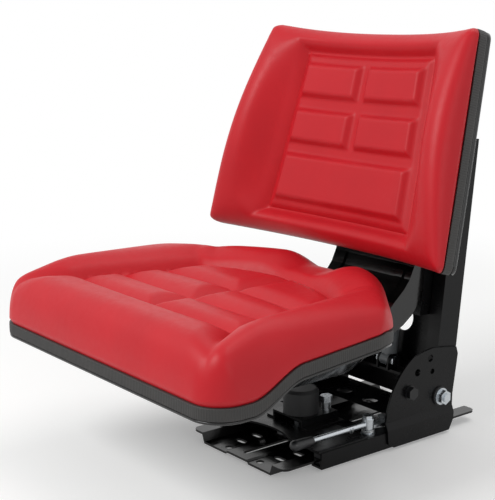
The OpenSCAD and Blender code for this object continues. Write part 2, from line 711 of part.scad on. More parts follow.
// Shaping functions for the cushions
function mix(a, b, t) = a + (b - a) * t;
function clamp01(t) = max(0, min(1, t));
function smooth(t, a, b) = let (u = clamp01((t - a) / (b - a))) u * u * (3 - 2 * u);
function smin(a, b, k) = let (h = max(k - abs(a - b), 0) / k) min(a, b) - h * h * k / 4;
function dome(d, r) = let (u = clamp01(d / r)) pow(1 - pow(1 - u, 2.4), 1 / 2.4);
function fall(d, r) = let (u = clamp01(abs(d) / r)) (1 - u) * (1 - u);
function eased(a, b, n) = [for (k = [0:n - 1]) mix(a, b, mix(k / n, (1 - cos(180 * k / n)) / 2, 0.55))];
function mirrored(v) = concat([for (i = [len(v) - 1:-1:1]) -v[i]], v);
function closeness(a, b, c) = 1 / pow(pow(max(a, 0.05), -3) + pow(max(b, 0.05), -3) + pow(max(c, 0.05),
    -3), 1 / 3);

// Seat cushion in plan: straight front, rounded corners, rear cut back towards the neck
rear_corner = 26;
function y_front(x) = let (e = max(0, abs(x) - seat_half + seat_r))
    seat_front + seat_r - sqrt(seat_r * seat_r - e * e);
function y_rear(x) = let (e = max(0, abs(x) - seat_half + rear_corner))
    smin(seat_rear, seat_rear - (abs(x) - neck_half - 5) * rear_cut, 40)
    - rear_corner + sqrt(rear_corner * rear_corner - e * e);
// Height of the cushion's lower edge: low front, a step up the sides, falling to the neck
step_y = seat_front + 91;
peak_y = seat_front + 255;
function z_edge(y) = y > peak_y ? mix(edge_side, edge_front + 16, (y - peak_y) / (seat_rear - peak_y))
    : edge_front + (edge_side - 11 - edge_front) * smooth(y, step_y - 38, step_y + 40)
        + 11 * clamp01((y - step_y - 40) / (peak_y - step_y - 40));
// Lines between the rows of pads, at the middle and at the outer ends
row_mid = [-315, -250, -180, -84];
row_end = [-312, -248, -192, -148];
row_share = [0.22, 0.45, 0.65, 0.82];
function row(k, x) = let (u = min(abs(x), pad_half) / pad_half, y = mix(row_mid[k], row_end[k], u * u))
    mix(y, mix(y_front(x), y_rear(x), row_share[k]), smooth(abs(x), pad_half, seat_half));
function row_y(k, x) = k == 0 ? y_front(x) : k == 5 ? y_rear(x) : row(k - 1, x);
function seat_inset(x, y) = closeness(seat_half - abs(x), y - y_front(x), 0.8 * (y_rear(x) - y));
function pad_inset(x, y) = min(pad_half - abs(x), y - row(0, x), row(3, x) - y);
function groove(x, y) = let (e = pad_inset(x, y))
    max(0.8 * fall(e, 18), e < 0 ? 0 : max(fall(x, 15), fall(y - row(1, x), 16), fall(y - row(2, x), 16)));
function seat_top(x, y) = let (d = seat_inset(x, y),
    side = max(smooth(abs(x), 95, 185), smooth(y, -150, -70) * smooth(abs(x), 20, 75)),
    rise = mix(4, bolster, side) * (d < 42 ? 1 : pow(cos(90 * clamp01((d - 42) / 42)), 2)),
    z = pad_z - 0.018 * (y - row_mid[0]) + rise - channel * groove(x, y))
    mix(z_edge(y), z, dome(d, 42));
side_share = [0, 0.16, 0.34, 0.52, 0.68, 0.8, 0.89, 0.955, 0.99, 1];
seat_cols = mirrored(concat(eased(0, pad_half, 8), [for (f = side_share) mix(pad_half, seat_half, f)]));
seat_rows = concat([for (k = [0:4]) for (f = eased(0, 1, [6, 4, 4, 5, 6][k])) [k, f]], [[4, 1]]);
function seat_y(r, x) = mix(row_y(r[0], x), row_y(r[0] + 1, x), r[1]);

// A cushion is a grid of points closed by loops that drop behind the trim and into the pan
function rim_index(nc, nr) = concat([for (i = [0:nc - 1]) i], [for (j = [1:nr - 1]) j * nc + nc - 1],
    [for (i = [nc - 2:-1:0]) (nr - 1) * nc + i], [for (j = [nr - 2:-1:1]) j * nc]);
function grid_faces(nc, nr) = [for (j = [0:nr - 2], i = [0:nc - 2]) let (a = j * nc + i)
    each [[a, a + nc, a + nc + 1], [a, a + nc + 1, a + 1]]];
// Faces between two loops; band_in splits them along the other diagonal, to lie parallel inside a band
function band(a, b) = let (n = len(a)) [for (i = [0:n - 1]) let (k = (i + 1) % n)
    each [[a[i], b[k], b[i]], [a[i], a[k], b[k]]]];
function band_in(a, b) = let (n = len(a)) [for (i = [0:n - 1]) let (k = (i + 1) % n)
    each [[a[i], a[k], b[i]], [a[k], b[k], b[i]]]];
function span(first, n) = [for (i = [0:n - 1]) first + i];
function flip(v) = [for (i = [len(v) - 1:-1:0]) v[i]];
// Loop of plan points moved inwards by d
function inset(p, d) = let (n = len(p)) [for (i = [0:n - 1]) let (t = unit(p[(i + 1) % n]
    - p[(i + n - 1) % n]))
    [p[i][0] - t[1] * d, p[i][1] + t[0] * d]];
function thin(v, k) = [for (i = [0:k:len(v) - 1]) v[i]];

seat_points = [for (r = seat_rows) for (x = seat_cols) [x, seat_y(r, x)]];
seat_rim_id = rim_index(len(seat_cols), len(seat_rows));
seat_rim = [for (i = seat_rim_id) seat_points[i]];
// Floor loop of the pan: the outline drawn in towards the middle, then moved in by d
pan_k = 0.76;
pan_mid = -190;
lip_in_d = 12;
wall_gap = 1;
function pan_loop(d, z) = [for (p = inset([for (q = seat_rim) [q[0] * pan_k,
    pan_mid + (q[1] - pan_mid) * pan_k]], d))
    [p[0], p[1], z]];
function seat_loop(d, dz) = [for (p = inset(seat_rim, d)) [p[0], p[1], z_edge(p[1]) + dz]];

// Closed body through loops of equal length, with flat ends
function mean(v) = [for (p = v) 1] * v / len(v);
function fan(a, c) = let (n = len(a)) [for (i = [0:n - 1]) [a[i], a[(i + 1) % n], c]];
module loft(loops, n) {
    last = len(loops) - 1;
    polyhedron(concat([for (l = loops) each l], [mean(loops[0]), mean(loops[last])]), concat(
        [for (k = [0:last - 1]) each band(span(k * n, n), span((k + 1) * n, n))],
        fan(flip(span(0, n)), (last + 1) * n), fan(span(last * n, n), (last + 1) * n + 1)), 6);
}
// Closed ring through four loops
module edging_ring(loops, n) polyhedron([for (l = loops) each l],
    [for (k = [0:3]) each band(span(k * n, n), span(((k + 1) % 4) * n, n))], 6);
module cushion(grid, rim_id, nc, nr, loops) {
    ng = len(grid);
    n = len(rim_id);
    last = len(loops) - 1;
    polyhedron(concat(grid, [for (l = loops) each l], [mean(loops[last])]), concat(grid_faces(nc, nr),
        band_in(rim_id, span(ng, n)), [for (k = [0:last - 1]) each band_in(span(ng + k * n, n),
            span(ng + (k + 1) * n, n))],
        fan(span(ng + last * n, n), ng + (last + 1) * n)), 6);
}
seat_in = trim_t + 0.4;
module seat_cushion() color(red) cushion([for (p = seat_points) [p[0], p[1], seat_top(p[0], p[1])]],
    seat_rim_id, len(seat_cols), len(seat_rows),
    [seat_loop(seat_in, 0), seat_loop(seat_in, pan_rim + near_gap),
        seat_loop(lip_in_d + wall_gap, pan_rim + near_gap),
        pan_loop(wall_gap, pan_z + near_gap)]);
module seat_trim() color(edging)
    edging_ring([seat_loop(0, -near_gap), seat_loop(0, pan_rim), seat_loop(trim_t, pan_rim),
    seat_loop(trim_t, -near_gap)], len(seat_rim));

// Backrest: x across, w up its face, n forward of the edging's plane
function back_pt(x, w, n) = [x, back_y + w * sin(back_lean) - n * cos(back_lean),
    back_z + w * cos(back_lean) + n * sin(back_lean)];
// The backrest wraps forward towards its sides
function wrap(x) = back_wrap * pow(abs(x) * 2 / back_low_w, 3);
function mast_pt(x, t, s) = [x, pivot_y + t * cos(lean) + s * sin(lean),
    pivot_z + s * cos(lean) - t * sin(lean)];
back_r = 12;
back_bow = 4;
back_dip = 6;
function back_half(w) = mix(back_low_w, back_high_w, w / back_h) / 2;
function corner_drop(a, half) =
    let (e = max(0, (abs(a) - 1) * half + back_r)) back_r - sqrt(back_r * back_r - e * e);
function w_low(a) = corner_drop(a, back_low_w / 2) + back_bow * (1 - a * a);
function w_high(a) = back_h - corner_drop(a, back_high_w / 2) - back_dip * (1 - a * a);
// Embossed ring by its distance from the lower and upper edge, and blocks by their places up the face,
// each with the share of the half width that it reaches
ring_low = 36;
ring_high = 35.5;
ring_a = 0.61;
block_a = 0.56;
blocks = [[51, 122, 0], [137, 189, 1], [206, 257.5, 1]];
block_gap = 6.5;
block_rise = 7.5;
function block_in(b, x, r, half) =
    min(block_a * half - abs(x), r - b[0], b[1] - r, b[2] > 0 ? abs(x) - block_gap : 99);
function back_top(a, r) = let (w = mix(w_low(a), w_high(a), r / back_h), half = back_half(w), x = a * half,
    d = closeness((1 - abs(a)) * half, w - w_low(a), w_high(a) - w),
    e = min((ring_a - abs(a)) * half, r - ring_low, back_h - ring_high - r),
    crest = border + belly * sin(180 * r / back_h),
    ridge = (crest - panel) * smooth(-e / (d + abs(e)), 0.05, 0.6),
    rise = block_rise * smooth(max([for (b = blocks) block_in(b, x, r, half)]), -3, 9))
    wrap(x) + (panel + ridge + rise - 5 * fall(e, 13)) * dome(d, 38);
back_cols = mirrored([0, 0.03, 0.08, 0.19, 0.32, 0.43, 0.505, 0.56, 0.61, 0.67, 0.75, 0.83, 0.9, 0.94,
    0.97, 0.99, 1]);
drawn_h = 308;
back_rows = [0, 2.5, 8, 17, 27, 36, 43, 51, 61, 86, 112, 122, 129.5, 137, 147, 163, 179, 189, 197.5, 206,
    216, 232, 248, 257.5, 265, 272.5, 282, 292, 303, 308];
back_scale = back_h / drawn_h;
back_points = [for (r = back_rows * back_scale) for (a = back_cols) let (w = mix(w_low(a), w_high(a),
    r / back_h))
    [a * back_half(w), w, back_top(a, r)]];
back_rim_id = rim_index(len(back_cols), len(back_rows));
back_rim = [for (i = back_rim_id) [back_points[i][0], back_points[i][1]]];
function back_loop(d, n) = [for (p = inset(back_rim, d)) back_pt(p[0], p[1], n + wrap(p[0]))];
// Loop of the shell's rear wall, in a plane along the mast
wall_k = 0.6;
wall_s = [neck_s + 13, neck_s + 271];
function wall_loop(d, t) = [for (p = inset([for (q = back_rim) [q[0] * wall_k,
    mix(wall_s[0], wall_s[1], q[1] / back_h)]], d))
    mast_pt(p[0], t, p[1])];
module back_cushion() color(red) cushion([for (p = back_points) back_pt(p[0], p[1], p[2])],
    back_rim_id, len(back_cols), len(back_rows),
    [back_loop(seat_in, 0), back_loop(seat_in, pan_rim + near_gap),
        back_loop(lip_in_d + wall_gap, pan_rim + near_gap),
        wall_loop(wall_gap, wall_t - 8)]);
// Underside of the strip, clear of the pan's flange, which is flat across where the wrap is curved
strip_low = pan_rim + near_gap / 2;
module back_trim() color(edging)
    edging_ring([back_loop(0, -near_gap), back_loop(0, strip_low), back_loop(trim_t, strip_low),
    back_loop(trim_t, -near_gap)], len(back_rim));

// Shell: two dishes with a turned rim, and the folded neck that is welded under one and behind the other
module dish(floor_loops, rims) loft(concat([floor_loops[0]], rims, [floor_loops[1]]), len(floor_loops[0]));
lap_t = wall_t + shell_t;
lap_end = lap_t + shell_t;
rim_z = z_edge(seat_rear) + pan_rim;
function plane_pt(t, s) = let (p = mast_pt(0, t, s)) [p[1], p[2]];
neck_path = concat([[seat_rear - 103, stop_z], [seat_rear - 44, stop_z], [seat_rear - 28, stop_z + 1.5],
    [seat_rear - 8, rim_z - 12.5], [seat_rear + 0.5, rim_z - 7.4], [seat_rear + 8, rim_z + 0.5],
        [seat_rear + 22, rim_z + 15],
    [seat_rear + 30, rim_z + 21.5], [seat_rear + 41, rim_z + 30.5], [seat_rear + 52, rim_z + 43.5],
    [seat_rear + 60, rim_z + 60]], [for (s = [neck_s + 4, neck_s + 16, neck_top]) plane_pt(lap_t, s)]);
// Path moved to its right by d
function beside(p, d) = [for (i = [0:len(p) - 1]) let (t = tangent(p, i)) [p[i][0] + t[1] * d,
    p[i][1] - t[0] * d]];
function strip(p, a, b) = concat(beside(p, a), flip(beside(p, b)));
function part_of(v, a, b) = [for (i = [a:b]) v[i]];
module bolt_holes(t, depth) on_mast() both() for (s = bolt_s) translate([bolt_x, t - cut, s])
    rotate([-90, 0, 0])
    cylinder(h = depth + 2 * cut, d = pin_d);
module shell_neck() color(black) difference() {
    union() {
        side_plate(-neck_half, 2 * neck_half) polygon(strip(neck_path, 0, shell_t));
        both() {
            side_plate(neck_half - shell_t, shell_t)
                polygon(concat(beside(part_of(neck_path, 1, len(neck_path) - 1), 0.5),
                [plane_pt(car_front - near_gap, neck_top), plane_pt(car_front - near_gap, neck_s - 22)],
                [[seat_rear + 73, rim_z + 11.5], [seat_rear + 58, rim_z - 7.5],
                    [seat_rear + 41, rim_z - 19.5],
                    [seat_rear + 25, rim_z - 26.5], [seat_rear - 2, rim_z - 28.5]]));
            side_plate(neck_half - 26, 12) polygon(strip(part_of(neck_path, 6, 10), -3, 1));
        }
    }
    bolt_holes(lap_t, shell_t);
}
module seat_pan() color(black) dish([pan_loop(0, pan_z), pan_loop(-shell_t, stop_z)],
    [seat_loop(lip_in_d, pan_rim),
    seat_loop(0, pan_rim), seat_loop(0, pan_rim - hem_h), seat_loop(shell_t, pan_rim - hem_h),
    seat_loop(shell_t, pan_rim - shell_t), seat_loop(lip_in_d - shell_t, pan_rim - shell_t)]);
module back_pan() color(black) difference() {
    dish([wall_loop(0, wall_t), wall_loop(-shell_t, lap_t)],
        [back_loop(lip_in_d, pan_rim), back_loop(0, pan_rim),
        back_loop(0, pan_rim - hem_h), back_loop(shell_t, pan_rim - hem_h),
            back_loop(shell_t, pan_rim - shell_t),
        back_loop(lip_in_d - shell_t, pan_rim - shell_t)]);
    bolt_holes(wall_t, shell_t);
}
module shell_bolts() color(zinc) on_mast() both() for (s = bolt_s) translate([bolt_x, wall_t - 6, s])
    rotate([-90, 0, 0]) {
    hex(16, 6);
    cylinder(h = car_front + sheet + 10 + 6 - wall_t, d = pin_d);
}
module shell_spacers() color(zinc) on_mast() both() for (s = bolt_s) translate([bolt_x, lap_end, s])
    rotate([-90, 0, 0])
    difference() {
        cylinder(h = car_front - lap_end, d = pin_d + 10);
        translate([0, 0, -cut]) cylinder(h = car_front - lap_end + 2 * cut, d = pin_d);
    }
module shell_nuts() color(zinc) on_mast() both() for (s = bolt_s)
    translate([bolt_x, car_front + sheet, s]) rotate([-90, 0, 0])
    difference() {
        hex(16, 8);
        translate([0, 0, -cut]) cylinder(h = 8 + 2 * cut, d = pin_d);
    }

base_plate();
rack_strip();
rail_left();
rail_right();
slide_glides();
front_plate();
rear_plate();
cheek_left();
cheek_right();
pivot_bolts();
pivot_nuts();
pivot_washers();
tilt_bolts();
tilt_nuts();
mast();
mast_cap();
top_buffers();
damper_foot();
damper_tube();
damper_rod();
damper_bolt_low();
damper_bolt_high();
carriage();
roller_pins();
roller_upper_left();
roller_upper_right();
roller_lower_left();
roller_lower_right();
suspension_springs();
spring_yoke();
adjuster_spindle();
adjuster_knob();
stop_bracket();
stop_buffer();
stop_screw();
stop_plate();
lever_rod();
lever_grip();
lever_plate();
lever_pivot();
lever_spring();
seat_pan();
shell_neck();
back_pan();
shell_bolts();
shell_nuts();
shell_spacers();
seat_cushion();
back_cushion();
seat_trim();
back_trim();
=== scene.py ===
# %% [markdown]
# A sprung tractor seat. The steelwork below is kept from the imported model, because sheet, bolts and
# rollers are already true there. The soft and pressed parts are made again here with many more
# points, because their curves are what the eye follows: two vinyl cushions, two ribbed edging
# strips, two pressed pans and the springs.

# %% Load the frame
import json
import math

import bpy
import numpy as np
from mathutils import Matrix, Vector


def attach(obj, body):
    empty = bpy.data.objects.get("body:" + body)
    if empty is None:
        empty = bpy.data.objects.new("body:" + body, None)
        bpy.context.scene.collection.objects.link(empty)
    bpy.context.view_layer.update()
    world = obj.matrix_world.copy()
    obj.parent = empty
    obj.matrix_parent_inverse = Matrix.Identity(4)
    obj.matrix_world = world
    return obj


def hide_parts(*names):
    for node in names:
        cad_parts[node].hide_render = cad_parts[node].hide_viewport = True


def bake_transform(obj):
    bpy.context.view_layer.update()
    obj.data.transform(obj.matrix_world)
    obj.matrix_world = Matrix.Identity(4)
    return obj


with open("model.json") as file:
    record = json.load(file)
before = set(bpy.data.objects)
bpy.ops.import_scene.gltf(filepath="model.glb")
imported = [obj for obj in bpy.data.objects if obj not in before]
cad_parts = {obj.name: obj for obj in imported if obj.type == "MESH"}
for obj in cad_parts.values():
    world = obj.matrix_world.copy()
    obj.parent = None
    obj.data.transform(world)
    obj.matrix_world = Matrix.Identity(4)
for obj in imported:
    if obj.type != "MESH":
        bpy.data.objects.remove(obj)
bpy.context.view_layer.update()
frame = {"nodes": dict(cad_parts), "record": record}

MM = 0.001

# %% [markdown]
# The camera stands where the photographer stood: to the seat's front right, a little above the
# cushions. Its place came from the vanishing points of the base plate, and its lens from how fast
# parallel edges run together.

# %% Camera
AZIMUTH, PITCH, ROLL = 52.0, 11.93, -0.4
FOCAL_PIXELS, LONG_SIDE = 1172.0, 500.0
CAMERA_PLACE = Vector((1179.3, -1082.0, 600.0)) * MM

az, pitch, roll = (math.radians(a) for a in (AZIMUTH, PITCH, ROLL))
ahead = Vector((-math.sin(az) * math.cos(pitch), math.cos(az) * math.cos(pitch), -math.sin(pitch)))
level_right = ahead.cross(Vector((0, 0, 1))).normalized()
level_up = level_right.cross(ahead)
right = level_right * math.cos(roll) + level_up * math.sin(roll)
up = level_up * math.cos(roll) - level_right * math.sin(roll)

camera = bpy.data.objects.new("camera", bpy.data.cameras.new("camera"))
bpy.context.scene.collection.objects.link(camera)
camera.data.sensor_width = 36.0
camera.data.lens = FOCAL_PIXELS / LONG_SIDE * camera.data.sensor_width
camera.data.clip_end = 50.0
camera.matrix_world = Matrix.Translation(CAMERA_PLACE) @ Matrix((right, up, -ahead)).transposed().to_4x4()
bpy.context.scene.camera = camera
print("lens", round(camera.data.lens, 1), "mm")

# %% [markdown]
# Every finish is a small graph of nodes. Colours are written as sRGB hex values, as they are read
# off a photograph, and one function turns them to the linear values that the shader works in. One
# more function adds a node, sets it and joins it, so that each finish reads as a list of what it is
# made of.

# %% Helpers for finishes
def linear(code):
    """Linear red, green, blue and 1 from an sRGB hex value."""
    parts = [int(code[i : i + 2], 16) / 255 for i in (0, 2, 4)]
    return tuple(p / 12.92 if p <= 0.04045 else ((p + 0.055) / 1.055) ** 2.4 for p in parts) + (1.0,)


def add(tree, kind, inputs=None, **settings):
    """Adds a node, sets its properties, and sets or links its inputs."""
    node = tree.nodes.new(kind)
    for name, value in settings.items():
        setattr(node, name, value)
    for name, value in (inputs or {}).items():
        if isinstance(value, bpy.types.NodeSocket):
            tree.links.new(value, node.inputs[name])
        else:
            node.inputs[name].default_value = value
    return node


def finish_named(name):
    """An empty material, its node tree and the coordinates of the piece in metres."""
    material = bpy.data.materials.new(name)
    material.use_nodes = True
    material.node_tree.nodes.clear()
    where = add(material.node_tree, "ShaderNodeTexCoord").outputs["Object"]
    return material, material.node_tree, where


def per_metre(size_mm):
    """Texture scale that makes one cell of a pattern this many millimetres wide."""
    return 1000.0 / size_mm


finishes = {}

# %% [markdown]
# The cushions wear a calendered PVC skin, formed hot in a mould with the foam behind it. That gives
# one unbroken red surface with embossed channels and no thread, a leather-like grain of about 1 mm,
# and the broad soft highlight of a plastic with a matt emboss. The grain is two cell patterns, and
# slow noise makes the skin a little uneven.

# %% Red vinyl
VINYL_RED, VINYL_DEEP = "CA1B26", "B91722"
GRAIN_MM = 1.3
CREASE_MM = 9.0
SLOW_MM = 70.0
ROUGH_LOW, ROUGH_HIGH = 0.40, 0.50

material, tree, where = finish_named("red_calendered_vinyl")
slow = add(tree, "ShaderNodeTexNoise", {"Vector": where, "Scale": per_metre(SLOW_MM), "Detail": 3.0})
tone = add(tree, "ShaderNodeMix", {"Factor": slow.outputs["Fac"]}, data_type="RGBA")
tone.inputs[6].default_value = linear(VINYL_DEEP)
tone.inputs[7].default_value = linear(VINYL_RED)
grain = add(tree, "ShaderNodeTexVoronoi", {"Vector": where, "Scale": per_metre(GRAIN_MM)},
            feature="DISTANCE_TO_EDGE")
crease = add(tree, "ShaderNodeTexNoise", {
    "Vector": where, "Scale": per_metre(CREASE_MM), "Detail": 6.0, "Roughness": 0.65})
fine = add(tree, "ShaderNodeBump", {
    "Height": grain.outputs["Distance"], "Strength": 0.12, "Distance": 0.2 * MM})
soft = add(tree, "ShaderNodeBump", {
    "Height": crease.outputs["Fac"], "Strength": 0.10, "Distance": 1.2 * MM,
    "Normal": fine.outputs["Normal"]})
shine = add(tree, "ShaderNodeMapRange", {
    "Value": crease.outputs["Fac"], "From Min": 0.3, "From Max": 0.7,
    "To Min": ROUGH_LOW, "To Max": ROUGH_HIGH})
skin = add(tree, "ShaderNodeBsdfPrincipled", {
    "Base Color": tone.outputs[2], "Roughness": shine.outputs["Result"], "Normal": soft.outputs["Normal"],
    "IOR": 1.5, "Specular IOR Level": 0.3})
add(tree, "ShaderNodeOutputMaterial", {"Surface": skin.outputs["BSDF"]})
finishes["red_vinyl"] = material
print("vinyl grain", GRAIN_MM, "mm")

# %% [markdown]
# The edging is extruded PVC with fine ribs across it. It clips over the pan's rim and hides where
# the skin tucks in. The ribs are modelled, so the finish only needs the dull grey-black of PVC that
# has been handled.

# %% Edging strip
EDGING_DARK, EDGING_WORN = "2B2B2B", "3D3B39"
PATCH_MM, PIT_MM = 25.0, 0.8
material, tree, where = finish_named("ribbed_grey_pvc")
patches = add(tree, "ShaderNodeTexNoise", {
    "Vector": where, "Scale": per_metre(PATCH_MM), "Detail": 5.0})
tone = add(tree, "ShaderNodeMix", {"Factor": patches.outputs["Fac"]}, data_type="RGBA")
tone.inputs[6].default_value = linear(EDGING_DARK)
tone.inputs[7].default_value = linear(EDGING_WORN)
pits = add(tree, "ShaderNodeTexNoise", {
    "Vector": where, "Scale": per_metre(PIT_MM), "Detail": 2.0})
bump = add(tree, "ShaderNodeBump", {
    "Height": pits.outputs["Fac"], "Strength": 0.25, "Distance": 0.2 * MM})
strip = add(tree, "ShaderNodeBsdfPrincipled", {
    "Base Color": tone.outputs[2], "Roughness": 0.5, "Normal": bump.outputs["Normal"], "IOR": 1.42})
add(tree, "ShaderNodeOutputMaterial", {"Surface": strip.outputs["BSDF"]})
finishes["edging"] = material
print("edging", EDGING_DARK)

# %% [markdown]
# The pans, the neck and the frame are deep-drawn mild steel in black stoving enamel. Enamel flows
# before it sets, so it is glossy with a faint orange peel of a few millimetres. Dust and handling
# dull it in patches, which shows only in the roughness. The pans are glossier than the frame.

# %% Black enamels
DUST_MM, PEEL_MM = 45.0, 4.0


def enamel(name, colour, rough_low, rough_high, peel, level):
    """Black stoving enamel on pressed steel."""
    material, tree, where = finish_named(name)
    dust = add(tree, "ShaderNodeTexNoise", {
        "Vector": where, "Scale": per_metre(DUST_MM), "Detail": 7.0, "Roughness": 0.6})
    rough = add(tree, "ShaderNodeMapRange", {
        "Value": dust.outputs["Fac"], "From Min": 0.35, "From Max": 0.7,
        "To Min": rough_low, "To Max": rough_high})
    flow = add(tree, "ShaderNodeTexNoise", {
        "Vector": where, "Scale": per_metre(PEEL_MM), "Detail": 1.0})
    bump = add(tree, "ShaderNodeBump", {
        "Height": flow.outputs["Fac"], "Strength": peel, "Distance": 0.3 * MM})
    paint = add(tree, "ShaderNodeBsdfPrincipled", {
        "Base Color": linear(colour), "Roughness": rough.outputs["Result"], "Normal": bump.outputs["Normal"],
        "IOR": 1.5, "Specular IOR Level": level})
    add(tree, "ShaderNodeOutputMaterial", {"Surface": paint.outputs["BSDF"]})
    return material


finishes["shell_gloss"] = enamel("black_gloss_enamel", "0B0A0A", 0.08, 0.20, 0.10, 0.5)
finishes["frame_paint"] = enamel("black_frame_enamel", "0C0C0D", 0.22, 0.38, 0.20, 0.18)
finishes["base_paint"] = enamel("black_base_enamel", "0C0B0B", 0.12, 0.26, 0.15, 0.35)
finishes["black_steel"] = enamel("black_oxide_steel", "141516", 0.34, 0.50, 0.25, 0.35)
print("enamels:", [finishes[k].name for k in ("shell_gloss", "frame_paint", "base_paint", "black_steel")])

# %% [markdown]
# Nuts, pins, the lever and the springs are steel with bright zinc plating. The plating is a metal
# about ten microns thick over a rolled surface, so it keeps a fine streaky roughness and a slightly
# blue cast from its passivation.

# %% Zinc plate
STREAK_MM = 3.0


def zinc(name, colour, rough_low, rough_high):
    """Bright zinc plating over rolled steel."""
    material, tree, where = finish_named(name)
    streaks = add(tree, "ShaderNodeTexNoise", {
        "Vector": where, "Scale": per_metre(STREAK_MM), "Detail": 8.0, "Roughness": 0.7})
    rough = add(tree, "ShaderNodeMapRange", {
        "Value": streaks.outputs["Fac"], "From Min": 0.3, "From Max": 0.7,
        "To Min": rough_low, "To Max": rough_high})
    bump = add(tree, "ShaderNodeBump", {
        "Height": streaks.outputs["Fac"], "Strength": 0.12, "Distance": 0.2 * MM})
    plate = add(tree, "ShaderNodeBsdfPrincipled", {
        "Base Color": linear(colour), "Metallic": 1.0, "Roughness": rough.outputs["Result"],
        "Normal": bump.outputs["Normal"]})
    add(tree, "ShaderNodeOutputMaterial", {"Surface": plate.outputs["BSDF"]})
    return material


finishes["zinc"] = zinc("bright_zinc_plate", "C3C8CC", 0.22, 0.38)
finishes["spring_steel"] = zinc("zinc_spring_wire", "B4B7B8", 0.28, 0.45)
print("zinc:", finishes["zinc"].name)

# %% [markdown]
# The rest is rubber, moulded nylon and one grey-painted tube. Natural rubber buffers are nearly
# black and dull with a bloom on the surface. Glass-filled nylon is dull too, but a little glossier
# where it is handled.

# %% Rubber, nylon and grey paint
def moulded(name, colour, roughness, texture_mm, depth_mm, ior):
    """A moulded or sprayed surface with an even fine texture."""
    material, tree, where = finish_named(name)
    texture = add(tree, "ShaderNodeTexNoise", {
        "Vector": where, "Scale": per_metre(texture_mm), "Detail": 4.0})
    rough = add(tree, "ShaderNodeMapRange", {
        "Value": texture.outputs["Fac"], "From Min": 0.3, "From Max": 0.7,
        "To Min": roughness - 0.06, "To Max": roughness + 0.06})
    bump = add(tree, "ShaderNodeBump", {
        "Height": texture.outputs["Fac"], "Strength": 0.3, "Distance": depth_mm * MM})
    body = add(tree, "ShaderNodeBsdfPrincipled", {
        "Base Color": linear(colour), "Roughness": rough.outputs["Result"],
        "Normal": bump.outputs["Normal"], "IOR": ior})
    add(tree, "ShaderNodeOutputMaterial", {"Surface": body.outputs["BSDF"]})
    return material


finishes["rubber"] = moulded("natural_rubber", "1B1B1C", 0.62, 1.2, 0.2, 1.52)
finishes["black_plastic"] = moulded("black_moulded_nylon", "1D1E20", 0.42, 0.9, 0.1, 1.53)
finishes["white_nylon"] = moulded("natural_nylon", "E2DFD3", 0.38, 1.5, 0.1, 1.53)
finishes["damper_grey"] = moulded("grey_damper_paint", "8F9396", 0.32, 2.0, 0.1, 1.5)

slot_of = {s["node"]: s["material_slot"] for s in frame["record"]["subparts"]}
for node_name, node_object in frame["nodes"].items():
    node_object.data.materials.clear()
    node_object.data.materials.append(finishes[slot_of[node_name]])
print(len(slot_of), "nodes finished")

# %% [markdown]
# The cushions, strips and pans are all skins laid through loops of points: each loop has the same
# number of points, and neighbours are joined by four-sided faces. These helpers make such a skin
# from millimetre coordinates, move a loop inwards by a distance, and mark the edges that stay
# sharp.

# %% Helpers for skins
def piece(name, points_mm, faces, slot, body=None, sharp=None):
    """A mesh from millimetre points, with its finish, that rides on a body if one is named."""
    mesh = bpy.data.meshes.new(name)
    mesh.from_pydata((np.asarray(points_mm, float) * MM).tolist(), [], faces)
    mesh.validate()
    mesh.shade_smooth()
    if sharp is not None:
        mesh.set_sharp_from_angle(angle=math.radians(sharp))
    obj = bpy.data.objects.new(name, mesh)
    bpy.context.scene.collection.objects.link(obj)
    mesh.materials.append(finishes[slot])
    if body:
        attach(obj, body)
    return obj


def joined(first, second, n):
    """Faces between two loops of n points, by their first indices."""
    return [(first + i, second + i, second + (i + 1) % n, first + (i + 1) % n) for i in range(n)]


def skin_through(loops, closed=False, caps=True):
    """Points and faces of a skin through loops, either closed into a ring or capped at both ends."""
    n, last = len(loops[0]), len(loops) - 1
    points = np.concatenate(loops)
    faces = [f for k in range(last) for f in joined(k * n, (k + 1) * n, n)]
    if closed:
        faces += joined(last * n, 0, n)
    elif caps:
        middle = np.array([loops[0].mean(0), loops[last].mean(0)])
        points = np.concatenate([points, middle])
        top, low = len(points) - 2, len(points) - 1
        faces += [(i, (i + 1) % n, top) for i in range(n)]
        faces += [(last * n + (i + 1) % n, last * n + i, low) for i in range(n)]
    return points, faces


def moved_in(loop, distance):
    """A plan loop that runs anticlockwise, moved inwards."""
    ahead_of = np.roll(loop, -1, 0) - np.roll(loop, 1, 0)
    ahead_of /= np.linalg.norm(ahead_of, axis=1, keepdims=True)
    return loop + np.stack([-ahead_of[:, 1], ahead_of[:, 0]], 1) * distance


def evenly(loop, count):
    """The same closed loop with evenly spaced points."""
    closed_loop = np.vstack([loop, loop[:1]])
    run = np.concatenate([[0], np.cumsum(np.linalg.norm(np.diff(closed_loop, axis=0), axis=1))])
    at = np.linspace(0, run[-1], count, endpoint=False)
    return np.stack([np.interp(at, run, closed_loop[:, k]) for k in range(loop.shape[1])], 1)


def rim_of(rows, cols):
    """Indices round the edge of a grid, anticlockwise."""
    first_row = list(range(cols))
    right_side = [j * cols + cols - 1 for j in range(1, rows)]
    last_row = [(rows - 1) * cols + i for i in range(cols - 2, -1, -1)]
    left_side = [j * cols for j in range(rows - 2, 0, -1)]
    return first_row + right_side + last_row + left_side


def grid_faces(rows, cols):
    """Four-sided faces of a grid of points."""
    return [(j * cols + i, j * cols + i + 1, (j + 1) * cols + i + 1, (j + 1) * cols + i)
            for j in range(rows - 1) for i in range(cols - 1)]


def mix(a, b, t):
    """From a to b by the share t."""
    return a + (b - a) * t


def ramp(t, a, b):
    """0 before a, 1 after b, smooth between."""
    u = np.clip((t - a) / (b - a), 0, 1)
    return u * u * (3 - 2 * u)


